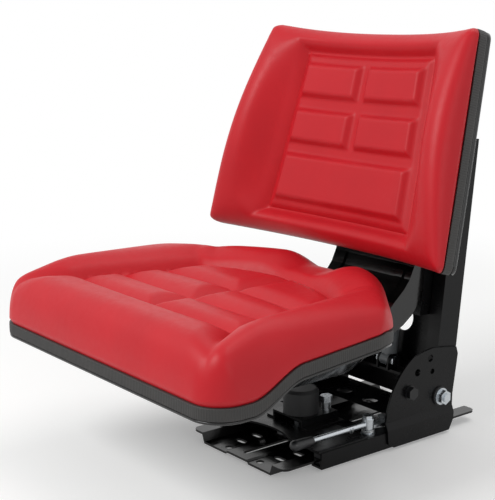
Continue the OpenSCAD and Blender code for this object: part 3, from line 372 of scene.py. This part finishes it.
def fall(d, r):
    """A channel's depth across it: 1 at its bottom, 0 from a distance r."""
    u = np.clip(np.abs(d) / r, 0, 1)
    return (1 - u) ** 2


def dome(d, r):
    """The round of a cushion's edge: 0 at the edge and 1 from a distance r."""
    return (1 - (1 - np.clip(d / r, 0, 1)) ** 2.4) ** (1 / 2.4)


def nearest(*distances):
    """A soft minimum of distances to several edges, so that corners round off."""
    return sum(np.maximum(d, 0.05) ** -3.0 for d in distances) ** (-1 / 3)


def both_sides(half):
    """Values from 0 outwards, mirrored to the other side."""
    half = np.asarray(half, float)
    return np.concatenate([-half[:0:-1], half])


# %% [markdown]
# The seat cushion is a moulded bucket: high round bolsters at the sides and the cut-back rear
# corners, a roll along the front, and a lower field of two columns of pads between embossed
# channels. It could be sculpted or simulated as stuffed cloth, but the real skin is formed on a
# tool and has no slack, so its height is written as a formula over the plan. A plainer and
# shallower form of the same formula makes the solid.

# %% Seat cushion: plan and edge
SEAT_HALF, SEAT_FRONT, SEAT_REAR = 245.0, -399.0, 8.0
FRONT_R, REAR_R, REAR_CUT, BLEND, NECK_HALF = 40.0, 26.0, 0.89, 40.0, 80.0
EDGE_FRONT, EDGE_SIDE, PAD_HALF = 181.0, 222.0, 162.0
TRIM_H, TRIM_T, HEM_H, SHELL_T, PAN_Z = 15.5, 3.6, 6.5, 2.0, 163.5
STEP_Y, STEP_HALF, PEAK_Y, SHOULDER = SEAT_FRONT + 91, 40.0, SEAT_FRONT + 255, 11.0


def seat_front(x):
    """The plan's front edge, with round corners."""
    e = np.maximum(0, np.abs(x) - SEAT_HALF + FRONT_R)
    return SEAT_FRONT + FRONT_R - np.sqrt(np.maximum(FRONT_R**2 - e * e, 0))


def seat_rear(x):
    """The plan's rear edge: straight at the neck, then cut back to round corners."""
    e = np.maximum(0, np.abs(x) - SEAT_HALF + REAR_R)
    slant = SEAT_REAR - (np.abs(x) - NECK_HALF - 5) * REAR_CUT
    h = np.maximum(BLEND - np.abs(SEAT_REAR - slant), 0) / BLEND
    joined_edge = np.minimum(SEAT_REAR, slant) - h * h * BLEND / 4
    return joined_edge - REAR_R + np.sqrt(np.maximum(REAR_R**2 - e * e, 0))


def edge_height(y):
    """Height of the cushion's lower edge over the base, by distance from the front."""
    step = (EDGE_SIDE - SHOULDER - EDGE_FRONT) * ramp(y, STEP_Y - STEP_HALF + 2, STEP_Y + STEP_HALF)
    slope = np.clip((y - STEP_Y - STEP_HALF) / (PEAK_Y - STEP_Y - STEP_HALF), 0, 1)
    rising = EDGE_FRONT + step + SHOULDER * slope
    falling = mix(EDGE_SIDE, EDGE_FRONT + 16, (y - PEAK_Y) / (SEAT_REAR - PEAK_Y))
    return np.where(y > PEAK_Y, falling, rising)


ROW_MIDDLE, ROW_END = (-315, -250, -180, -84), (-312, -248, -192, -148)
ROW_SHARE = (0.22, 0.45, 0.65, 0.82)


def pad_row(k, x):
    """Line between two rows of pads."""
    u = np.minimum(np.abs(x), PAD_HALF) / PAD_HALF
    inside = mix(ROW_MIDDLE[k], ROW_END[k], u * u)
    outside = mix(seat_front(x), seat_rear(x), ROW_SHARE[k])
    return mix(inside, outside, ramp(np.abs(x), PAD_HALF, SEAT_HALF))


quarter = np.linspace(0, math.pi / 2, 42)
columns = both_sides(np.concatenate([
    np.linspace(0, PAD_HALF, 71)[:-1], mix(PAD_HALF, SEAT_HALF, np.sin(quarter))]))
front_band = 1 - np.cos(np.linspace(0, math.pi / 2, 26)[:-1])
pad_band = np.linspace(0, 1, 23)[:-1]
last_pad_band = np.linspace(0, 1, 27)[:-1]
rear_band = np.sin(np.linspace(0, math.pi / 2, 34))
bands = [front_band, pad_band, pad_band, last_pad_band, rear_band]
limits = [seat_front(columns)] + [pad_row(k, columns) for k in range(4)] + [seat_rear(columns)]
seat_y = np.concatenate([
    mix(limits[k], limits[k + 1], band[:, None]) for k, band in enumerate(bands)])
seat_x = np.broadcast_to(columns, seat_y.shape)
print("seat grid", seat_y.shape)

# %% [markdown]
# The height has five parts. The level of the padded field falls slightly to the rear. Round the
# field, at the sides and the cut-back corners, stands the bolster. In front of it lies the roll,
# which is low. Channels run between the pads and along the foot of the bolster and the roll, and
# they die away towards the front edge. Last, the dome at the edge turns all of it down to the
# strip.

# %% Seat cushion: height
PAD_LEVEL, PAD_FALL, EDGE_R = 243.0, 0.018, 42
BOLSTER, BOLSTER_W, LOW_RISE, ROLL = 19.0, 46, 4, 5
CHANNEL, ROW_R, MIDDLE_R, FRONT_FOOT_R, INNER_FOOT_R, OUTER_FOOT_R = 11.0, 31, 30, 24, 26, 14


def field_side(y):
    """Half the padded field's width: it narrows to the rear and flares into the front corners."""
    return 146 - 0.19 * (y + 150) + 0.4 * np.maximum(-322 - y, 0)


def seat_channels(x, y, inside):
    """How deep the channels are, from 0 to 1; inside is the distance into the padded field."""
    rows = np.maximum(fall(y - pad_row(1, x), ROW_R), fall(y - pad_row(2, x), ROW_R))
    between = np.where(y > pad_row(0, x), np.maximum(fall(x, MIDDLE_R), rows), 0)
    front = fall(y - pad_row(0, x), FRONT_FOOT_R)
    within = np.maximum(fall(inside, INNER_FOOT_R), np.maximum(between, front))
    foot = np.where(inside > 0, within, fall(inside, OUTER_FOOT_R))
    return foot * mix(0.2, 1, ramp(y - seat_front(x), 20, 90))


def seat_height(x, y):
    """Height of the seat's skin over the floor."""
    inset = nearest(SEAT_HALF - np.abs(x), y - seat_front(x), 0.8 * (seat_rear(x) - y))
    inside = np.minimum(field_side(y) - np.abs(x), pad_row(3, x) - y)
    corners = ramp(y, -150, -70) * ramp(np.abs(x), 20, 75)
    flank = np.maximum(ramp(np.abs(x), 95, 185), corners)
    ends = mix(0.5, 1, ramp(y - seat_front(x), 20, 110))
    rise = mix(LOW_RISE, BOLSTER, flank) * ends * (1 - fall(np.maximum(-inside, 0), BOLSTER_W))
    roll = ROLL * ramp(pad_row(0, x) - y, 0, 30) * ramp(inside, 0, 40)
    level = PAD_LEVEL - PAD_FALL * (y - ROW_MIDDLE[0])
    top = level + rise + roll - CHANNEL * seat_channels(x, y, inside)
    return mix(edge_height(y), top, dome(inset, EDGE_R))


seat_grid = np.stack([seat_x, seat_y, seat_height(seat_x, seat_y)], -1).reshape(-1, 3)
seat_rim_at = rim_of(*seat_y.shape)
seat_plan = seat_grid[seat_rim_at][:, :2]
print("cushion top", round(seat_grid[:, 2].max(), 1), "mm over the floor")

# %% Seat cushion: closing it behind the strip
PAN_SHARE, PAN_MIDDLE = 0.76, -190.0
SKIN_IN, POCKET_IN, CLEAR = 4, 13, 0.3


def seat_ring(distance, drop, plan=None):
    """A loop that follows the cushion's lower edge."""
    p = moved_in(seat_plan if plan is None else plan, distance)
    return np.column_stack([p, edge_height(p[:, 1]) + drop])


def pan_ring(distance, z, plan=None):
    """A loop round the pan's floor."""
    q = (seat_plan if plan is None else plan) * PAN_SHARE
    q = q + np.array([0, PAN_MIDDLE * (1 - PAN_SHARE)])
    p = moved_in(q, distance)
    return np.column_stack([p, np.full(len(p), z)])


def cushion(name, grid, rows, cols, loops, fill):
    """A cushion's grid, closed by loops that go behind the strip and into the pan."""
    n = len(loops[0])
    start = len(grid)
    points = np.concatenate([grid] + loops + [loops[-1].mean(0)[None]])
    rim = rim_of(rows, cols)
    faces = grid_faces(rows, cols)
    faces += [(rim[i], start + i, start + (i + 1) % n, rim[(i + 1) % n]) for i in range(n)]
    for k in range(len(loops) - 1):
        faces += joined(start + k * n, start + (k + 1) * n, n)
    last = start + (len(loops) - 1) * n
    faces += [(last + (i + 1) % n, last + i, len(points) - 1) for i in range(n)]
    obj = piece(name, points, faces, "red_vinyl", "carriage", sharp=60)
    return obj


seat_pad = cushion("seat_pad", seat_grid, *seat_y.shape, [
    seat_ring(SKIN_IN, 0), seat_ring(SKIN_IN, -TRIM_H + CLEAR),
    seat_ring(POCKET_IN, -TRIM_H + CLEAR), pan_ring(1, PAN_Z + CLEAR)], 0.95)
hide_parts("seat_cushion")
print("seat pad", len(seat_pad.data.polygons), "faces")

# %% [markdown]
# The backrest is made the same way, but its plan is a trapezoid that leans back, so it is worked
# out flat, with w up the face and n out of it, and then turned into place. Its sides wrap forward
# round the driver, and its border is a broad round bolster, thickest half way up. Inside, an
# embossed ring runs round a field with one wide block below and two rows of two above.

# %% Backrest: plan and place
BACK_LOW, BACK_HIGH, BACK_H, BACK_LEAN = 236.0, 196.0, 308.0, math.radians(15)
BACK_Y, BACK_Z = 2.5, 263.0
BACK_R, BACK_BOW, BACK_DIP, BACK_WRAP, END_BAND = 12.0, 4.0, 6.0, 48.0, 30
LEAN, PIVOT_Y, PIVOT_Z = math.radians(6.7), 96.6, 57.0
WALL_T, WALL_SHARE, WALL_S = -46.5, 0.6, (212.0, 470.0)


def on_back(x, w, n):
    """Row coordinates of a point on the backrest."""
    y = BACK_Y + w * math.sin(BACK_LEAN) - n * math.cos(BACK_LEAN)
    z = BACK_Z + w * math.cos(BACK_LEAN) + n * math.sin(BACK_LEAN)
    return np.stack(np.broadcast_arrays(x, y, z), -1)


def on_mast(x, t, s):
    """Row coordinates of a point in the mast's own axes."""
    y = PIVOT_Y + t * math.cos(LEAN) + s * math.sin(LEAN)
    z = PIVOT_Z + s * math.cos(LEAN) - t * math.sin(LEAN)
    return np.stack(np.broadcast_arrays(x, y, z), -1)


def back_half(w):
    """Half the backrest's width, by distance up its face."""
    return mix(BACK_LOW, BACK_HIGH, w / BACK_H)


def wrap(x):
    """How far the backrest stands forward of its middle, by distance across."""
    return BACK_WRAP * (np.abs(x) / BACK_LOW) ** 3


def corner_drop(a, half):
    """How far a round corner stands inside a straight edge."""
    e = np.maximum(0, (np.abs(a) - 1) * half + BACK_R)
    return BACK_R - np.sqrt(np.maximum(BACK_R**2 - e * e, 0))


def low_edge(a):
    """The lower edge, by share across: 0 in the middle, 1 at the sides."""
    return corner_drop(a, BACK_LOW) + BACK_BOW * (1 - a * a)


def high_edge(a):
    """The upper edge, by share across."""
    return BACK_H - corner_drop(a, BACK_HIGH) - BACK_DIP * (1 - a * a)


turn = np.linspace(0, math.pi / 2, 22)
shares = both_sides(np.concatenate([np.linspace(0, 0.7, 57)[:-1], mix(0.7, 1.0, np.sin(turn))]))
heights = np.concatenate([
    END_BAND * (1 - np.cos(turn))[:-1], np.linspace(END_BAND, BACK_H - END_BAND, 113),
    mix(BACK_H - END_BAND, BACK_H, np.sin(turn))[1:]])
back_a, back_r = np.meshgrid(shares, heights)
back_w = mix(low_edge(back_a), high_edge(back_a), back_r / BACK_H)
print("backrest grid", back_w.shape)

# %% Backrest: relief
BORDER, BELLY, PANEL, BACK_EDGE_R = 24.0, 26.0, 18.0, 38
RING_A, RING_W, RING_DEPTH, RING_R = 0.61, (36, BACK_H - 35.5), 6.5, 12
BLOCK_A, BLOCK_RISE, BLOCK_GAP = 0.56, 8.5, 6.5
BLOCKS = ((51, 122, False), (137, 189, True), (206, 257.5, True))


def back_relief(a, r, w):
    """How far the skin stands off the face; r is w before the edges are bowed."""
    half = back_half(w)
    x = a * half
    inset = nearest((1 - np.abs(a)) * half, w - low_edge(a), high_edge(a) - w)
    ring = np.minimum((RING_A - np.abs(a)) * half, np.minimum(r - RING_W[0], RING_W[1] - r))
    crest = BORDER + BELLY * np.sin(math.pi * r / BACK_H)
    ridge = (crest - PANEL) * ramp(-ring / (inset + np.abs(ring)), 0.05, 0.6)
    inside = np.full_like(x, -99.0)
    for low, high, split in BLOCKS:
        depth_in = np.minimum(BLOCK_A * half - np.abs(x), np.minimum(r - low, high - r))
        inside = np.maximum(inside, np.minimum(depth_in, np.abs(x) - BLOCK_GAP) if split else depth_in)
    rise = BLOCK_RISE * ramp(inside, -2.5, 8)
    relief = PANEL + ridge + rise - RING_DEPTH * fall(ring, RING_R)
    return wrap(x) + relief * dome(inset, BACK_EDGE_R)


back_x = back_a * back_half(back_w)
back_grid = on_back(back_x, back_w, back_relief(back_a, back_r, back_w)).reshape(-1, 3)
back_rim_at = rim_of(*back_w.shape)
back_plan = np.stack([back_x, back_w], -1).reshape(-1, 2)[back_rim_at]


def back_ring(distance, n, plan=None):
    """A loop that follows the backrest's edge."""
    p = moved_in(back_plan if plan is None else plan, distance)
    return on_back(p[:, 0], p[:, 1], n + wrap(p[:, 0]))


def wall_ring(distance, t, plan=None):
    """A loop round the back pan's rear wall, in a plane along the mast."""
    q = back_plan if plan is None else plan
    q = np.column_stack([q[:, 0] * WALL_SHARE, mix(*WALL_S, q[:, 1] / BACK_H)])
    p = moved_in(q, distance)
    return on_mast(p[:, 0], np.full(len(p), t), p[:, 1])


back_pad = cushion("back_pad", back_grid, *back_w.shape, [
    back_ring(SKIN_IN, 0), back_ring(SKIN_IN, -TRIM_H + CLEAR),
    back_ring(POCKET_IN, -TRIM_H + CLEAR), wall_ring(1, WALL_T - 8)], 0.95)
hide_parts("back_cushion")
print("back pad", len(back_pad.data.polygons), "faces")

# %% [markdown]
# The edging strip is one extruded section bent round the rim: a flat band with rounded edges and
# ribs across it every few millimetres. A curve with a bevel could carry the section, but then the
# ribs would have to be a texture. Here the section is swept through evenly spaced stations, four
# to a rib, and two of the four stand out.

# %% Edging strips
RIB_PITCH, RIB_OUT, PER_RIB = 3.2, 0.45, 4
BAND_H = 15.3
BAND = ((0.0, 0.9), (0.25, 0.35), (0.8, 0.0), (4.0, -0.1), (7.7, -0.15),
        (11.5, -0.1), (14.5, 0.0), (15.1, 0.4), (BAND_H, 1.1))


def strip(name, plan, ring_at, node):
    """A ribbed strip: ring_at gives a loop at an inset and a drop from the edge."""
    length = np.linalg.norm(np.roll(plan, -1, 0) - plan, axis=1).sum()
    count = int(length / RIB_PITCH) * PER_RIB
    stations = evenly(plan, count)
    phase = np.arange(count) % PER_RIB
    proud = np.where(phase < PER_RIB // 2, RIB_OUT, 0.0)[:, None]
    base = ring_at(0.0, 0.0, stations)
    outward = ring_at(-1.0, 0.0, stations) - base
    loops = []
    for drop, inset in BAND:
        along = proud if 0.3 < drop < BAND_H - 0.3 else proud * 0.3
        loops.append(ring_at(0.0, -drop, stations) + outward * (along - inset))
    loops.append(ring_at(TRIM_T, -BAND_H, stations))
    loops.append(ring_at(TRIM_T, 0.0, stations))
    obj = piece(name, *skin_through(loops, closed=True), "edging", "carriage", sharp=35)
    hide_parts(node)
    print(name, "length", round(length), "mm, ribs", count // PER_RIB)


strip("seat_edging", seat_plan, seat_ring, "seat_trim")
strip("back_edging", back_plan, back_ring, "back_trim")

# %% [markdown]
# The pans are drawn from 2 mm sheet: a flat flange with a turned edge all round, where the strip
# clips on, and walls that slope to a floor. Each is a skin with an inner and an outer side, and its
# bends have small loops of their own, because drawn sheet has no sharp inside corner.

# %% Seat pan and back pan
def pan(name, node, inner_floor, outer_floor, ring_at, h):
    """A pressed pan with a flange and an edge turned by h."""
    t = SHELL_T
    near, far = ring_at(12, 0), ring_at(10, -t)
    inner_wall = [mix(inner_floor, near, share) for share in (0.0, 0.04, 0.12, 0.92)]
    flange = [ring_at(11, 0.2), ring_at(9, 0), ring_at(1.2, 0), ring_at(0.4, -0.4), ring_at(0, -1.2)]
    turned_edge = [ring_at(0, -h + 0.6), ring_at(0.6, -h), ring_at(t - 0.6, -h), ring_at(t, -h + 0.6),
                   ring_at(t, -t - min(1, (h - t) / 3))]
    underside = [ring_at(t + 1, -t), ring_at(8, -t), ring_at(9.4, -t - 0.3)]
    outer_wall = [mix(outer_floor, far, share) for share in (0.90, 0.12, 0.04)] + [outer_floor]
    loops = inner_wall + flange + turned_edge + underside + outer_wall
    obj = piece(name, *skin_through(loops), "shell_gloss", "carriage", sharp=50)
    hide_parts(node)
    return obj


seat_dish = pan("seat_dish", "seat_pan", pan_ring(0, PAN_Z), pan_ring(-SHELL_T, PAN_Z - SHELL_T),
                lambda d, z: seat_ring(d, z - TRIM_H), HEM_H / 2)
back_dish = pan("back_dish", "back_pan", wall_ring(0, WALL_T), wall_ring(-SHELL_T, WALL_T + SHELL_T),
                lambda d, z: back_ring(d, z - TRIM_H), HEM_H)
print("pans", len(seat_dish.data.polygons), len(back_dish.data.polygons))

# %% [markdown]
# The two tension springs hang from the yoke bar and pull the carriage up. Each is one wire: a ring
# round the lower pin, close coils, and a long shank up to a ring round the bar. The wire is swept
# as a tube along a worked-out path.

# %% Tension springs
def tube(path, radius, sides):
    """Loops of a round wire along a path, kept from twisting."""
    path = np.asarray(path, float)
    along = np.gradient(path, axis=0)
    along /= np.linalg.norm(along, axis=1, keepdims=True)
    side = np.cross(along[0], [0.3, 0.9, 0.2])
    loops = []
    angles = np.linspace(0, 2 * math.pi, sides, endpoint=False)
    for p, d in zip(path, along):
        side = side - d * side.dot(d)
        side /= np.linalg.norm(side)
        other = np.cross(d, side)
        loops.append(p + radius * (np.cos(angles)[:, None] * side + np.sin(angles)[:, None] * other))
    return loops


SPRING_X, SPRING_T, SPRING_OD, WIRE = 48.0, 8.0, 22.0, 3.5
STUB_S, YOKE_S, HOOK_R = 150.0, 326.0, 7.05
COIL_LOW, COIL_HIGH = 166.0, 292.0


def spring_path():
    """Path of one spring's wire as offsets across, through and along the mast."""
    radius = (SPRING_OD - WIRE) / 2
    turns = int((COIL_HIGH - COIL_LOW) / (WIRE + 0.15))
    low_ring = [(0, HOOK_R * math.sin(a), STUB_S - HOOK_R * math.cos(a)) for a in np.linspace(-1.9, 2.6, 26)]
    coil_angles = np.linspace(0, 2 * math.pi * turns, turns * 18)
    coil = [(radius * math.sin(a) * min(1, a / 2), radius * math.cos(a),
             mix(COIL_LOW, COIL_HIGH, a / coil_angles[-1])) for a in coil_angles]
    shank = [(0, mix(radius, HOOK_R, t), mix(COIL_HIGH + 6, YOKE_S - 6, t)) for t in np.linspace(0, 1, 10)]
    high_ring = [(0, HOOK_R * math.cos(a), YOKE_S + HOOK_R * math.sin(a)) for a in np.linspace(-0.3, 4.4, 26)]
    return np.array(low_ring + coil + shank + high_ring)


offsets = spring_path()
for side_name, sign in (("left", -1), ("right", 1)):
    path = on_mast(sign * SPRING_X + offsets[:, 0], SPRING_T + offsets[:, 1], offsets[:, 2])
    spring = piece("spring_" + side_name, *skin_through(tube(path, WIRE / 2, 9)), "spring_steel", sharp=60)
    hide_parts("suspension_springs")
    low_end, high_end = (tuple(on_mast(0, SPRING_T, s) * MM) for s in (COIL_LOW, COIL_HIGH))
    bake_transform(spring)
    print(spring.name, len(spring.data.polygons), "faces")

# %% [markdown]
# The lock lever's torsion spring is thin wire: one leg hooks over the rod, two turns go round the
# collar and the other leg rests behind. The path is the same as the solid's, with the corners eased
# by a spline.

# %% Lever spring
LEVER_X, LEVER_Y, LEVER_Z, HUB_Z = 92.0, -27.0, 40.0, 34.0
THIN_WIRE = 1.8
COIL_R = 5 + 2 + 0.3 + THIN_WIRE / 2
low_turn = 29.0 - 3 + 1.6 + 0.3 + THIN_WIRE / 2
high_turn = HUB_Z - 0.3 - THIN_WIRE / 2
hook_y = LEVER_Y - 34
knots = [(LEVER_X + 6.5, hook_y, LEVER_Z + 3), (LEVER_X + 5.6, hook_y, LEVER_Z - 3.5),
         (LEVER_X, hook_y + 1, LEVER_Z - 5.3), (LEVER_X - COIL_R + 3, hook_y + 8, LEVER_Z - 6.5)]
knots += [(LEVER_X + COIL_R * math.cos(math.pi - a), LEVER_Y + COIL_R * math.sin(math.pi - a),
           mix(high_turn, low_turn, a / (4 * math.pi))) for a in np.linspace(0, 4 * math.pi, 49)]
knots += [(LEVER_X - 5, LEVER_Y + 16, low_turn), (LEVER_X + 6, LEVER_Y + 34, low_turn + 2)]
knots = np.array(knots)


def eased_path(points, per_span):
    """A smooth curve through points (Catmull-Rom)."""
    p = np.vstack([2 * points[0] - points[1], points, 2 * points[-1] - points[-2]])
    out = []
    for a, b, c, d in zip(p, p[1:], p[2:], p[3:]):
        for t in np.linspace(0, 1, per_span, endpoint=False):
            out.append(0.5 * (2 * b + (c - a) * t + (2 * a - 5 * b + 4 * c - d) * t**2
                              + (3 * b - a - 3 * c + d) * t**3))
    return np.array(out + [points[-1]])


thin_wire = skin_through(tube(eased_path(knots, 3), THIN_WIRE / 2, 8))
torsion = piece("torsion_spring", *thin_wire, "spring_steel", "lever", sharp=60)
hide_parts("lever_spring")
print("torsion spring", len(torsion.data.polygons), "faces")

# %% [markdown]
# The light is a photographer's tent: an even pale surround, one large soft lamp high in front of
# the seat, and weaker ones from the right and from above. The floor is pale and plain. Near the
# seat it is lit by the lamps and takes the seat's shadow, and further off it fades to the white of
# the background, for the camera and for reflections only.

# %% Floor, surround and lamps
FLOOR_HALF, FLOOR_LIFT, FADE_FROM, FADE_TO = 12, 0.25, 0.5, 1.6
SURROUND = 0.35


def seen_as_background(tree):
    """1 for rays that see the background, straight or mirrored, and 0 for light on the seat."""
    kinds = add(tree, "ShaderNodeLightPath").outputs
    mirrored = add(tree, "ShaderNodeMath", {
        0: kinds["Is Glossy Ray"], 1: kinds["Is Transmission Ray"]}, operation="MAXIMUM")
    either = add(tree, "ShaderNodeMath", {
        0: kinds["Is Camera Ray"], 1: mirrored.outputs[0]}, operation="MAXIMUM")
    return either.outputs[0]


floor_mesh = bpy.data.meshes.new("floor")
corners = [(x * FLOOR_HALF, y * FLOOR_HALF, -MM) for x, y in ((-1, -1), (1, -1), (1, 1), (-1, 1))]
floor_mesh.from_pydata(corners, [], [(0, 1, 2, 3)])
floor = bpy.data.objects.new("floor", floor_mesh)
bpy.context.scene.collection.objects.link(floor)
material = bpy.data.materials.new("pale_floor")
material.use_nodes = True
tree = material.node_tree
tree.nodes.clear()
where = add(tree, "ShaderNodeTexCoord").outputs["Object"]
away = add(tree, "ShaderNodeVectorMath", {0: where}, operation="LENGTH").outputs["Value"]
far = add(tree, "ShaderNodeMapRange", {
    "Value": away, "From Min": FADE_FROM, "From Max": FADE_TO}, interpolation_type="SMOOTHSTEP")
seen = seen_as_background(tree)
lift = add(tree, "ShaderNodeMath", {0: seen, 1: FLOOR_LIFT}, operation="MULTIPLY")
fade = add(tree, "ShaderNodeMath", {0: seen, 1: far.outputs["Result"]}, operation="MULTIPLY")
matt = add(tree, "ShaderNodeBsdfDiffuse", {"Color": linear("F0F0EF")})
glow = add(tree, "ShaderNodeEmission", {"Color": (1, 1, 1, 1), "Strength": lift.outputs[0]})
near = add(tree, "ShaderNodeAddShader", {0: matt.outputs[0], 1: glow.outputs[0]})
white = add(tree, "ShaderNodeEmission", {"Color": (1, 1, 1, 1), "Strength": 1.0})
both = add(tree, "ShaderNodeMixShader", {
    0: fade.outputs[0], 1: near.outputs[0], 2: white.outputs[0]})
add(tree, "ShaderNodeOutputMaterial", {"Surface": both.outputs[0]})
floor_mesh.materials.append(material)

world = bpy.data.worlds.new("tent")
bpy.context.scene.world = world
world.use_nodes = True
tree = world.node_tree
tree.nodes.clear()
strength = add(tree, "ShaderNodeMapRange", {
    "Value": seen_as_background(tree), "To Min": SURROUND, "To Max": 1.0})
sky = add(tree, "ShaderNodeBackground", {"Color": (1, 1, 1, 1), "Strength": strength.outputs["Result"]})
add(tree, "ShaderNodeOutputWorld", {"Surface": sky.outputs[0]})


def lamp(name, place, aim, size, watts):
    """A soft rectangular lamp that looks at a point."""
    light = bpy.data.lights.new(name, "AREA")
    light.shape, light.size, light.size_y, light.energy = "RECTANGLE", size, size * 0.7, watts
    obj = bpy.data.objects.new(name, light)
    bpy.context.scene.collection.objects.link(obj)
    obj.location = place
    obj.rotation_euler = (Vector(aim) - Vector(place)).to_track_quat("-Z", "Y").to_euler()


seat_middle = (0.0, -0.1, 0.28)
lamp("key", (-0.5, -2.4, 2.3), seat_middle, 1.8, 54)
lamp("fill", (2.6, -0.2, 1.3), seat_middle, 1.6, 8)
lamp("top", (0.3, 0.6, 2.6), seat_middle, 2.0, 15)
bpy.context.scene.view_settings.view_transform = "Standard"
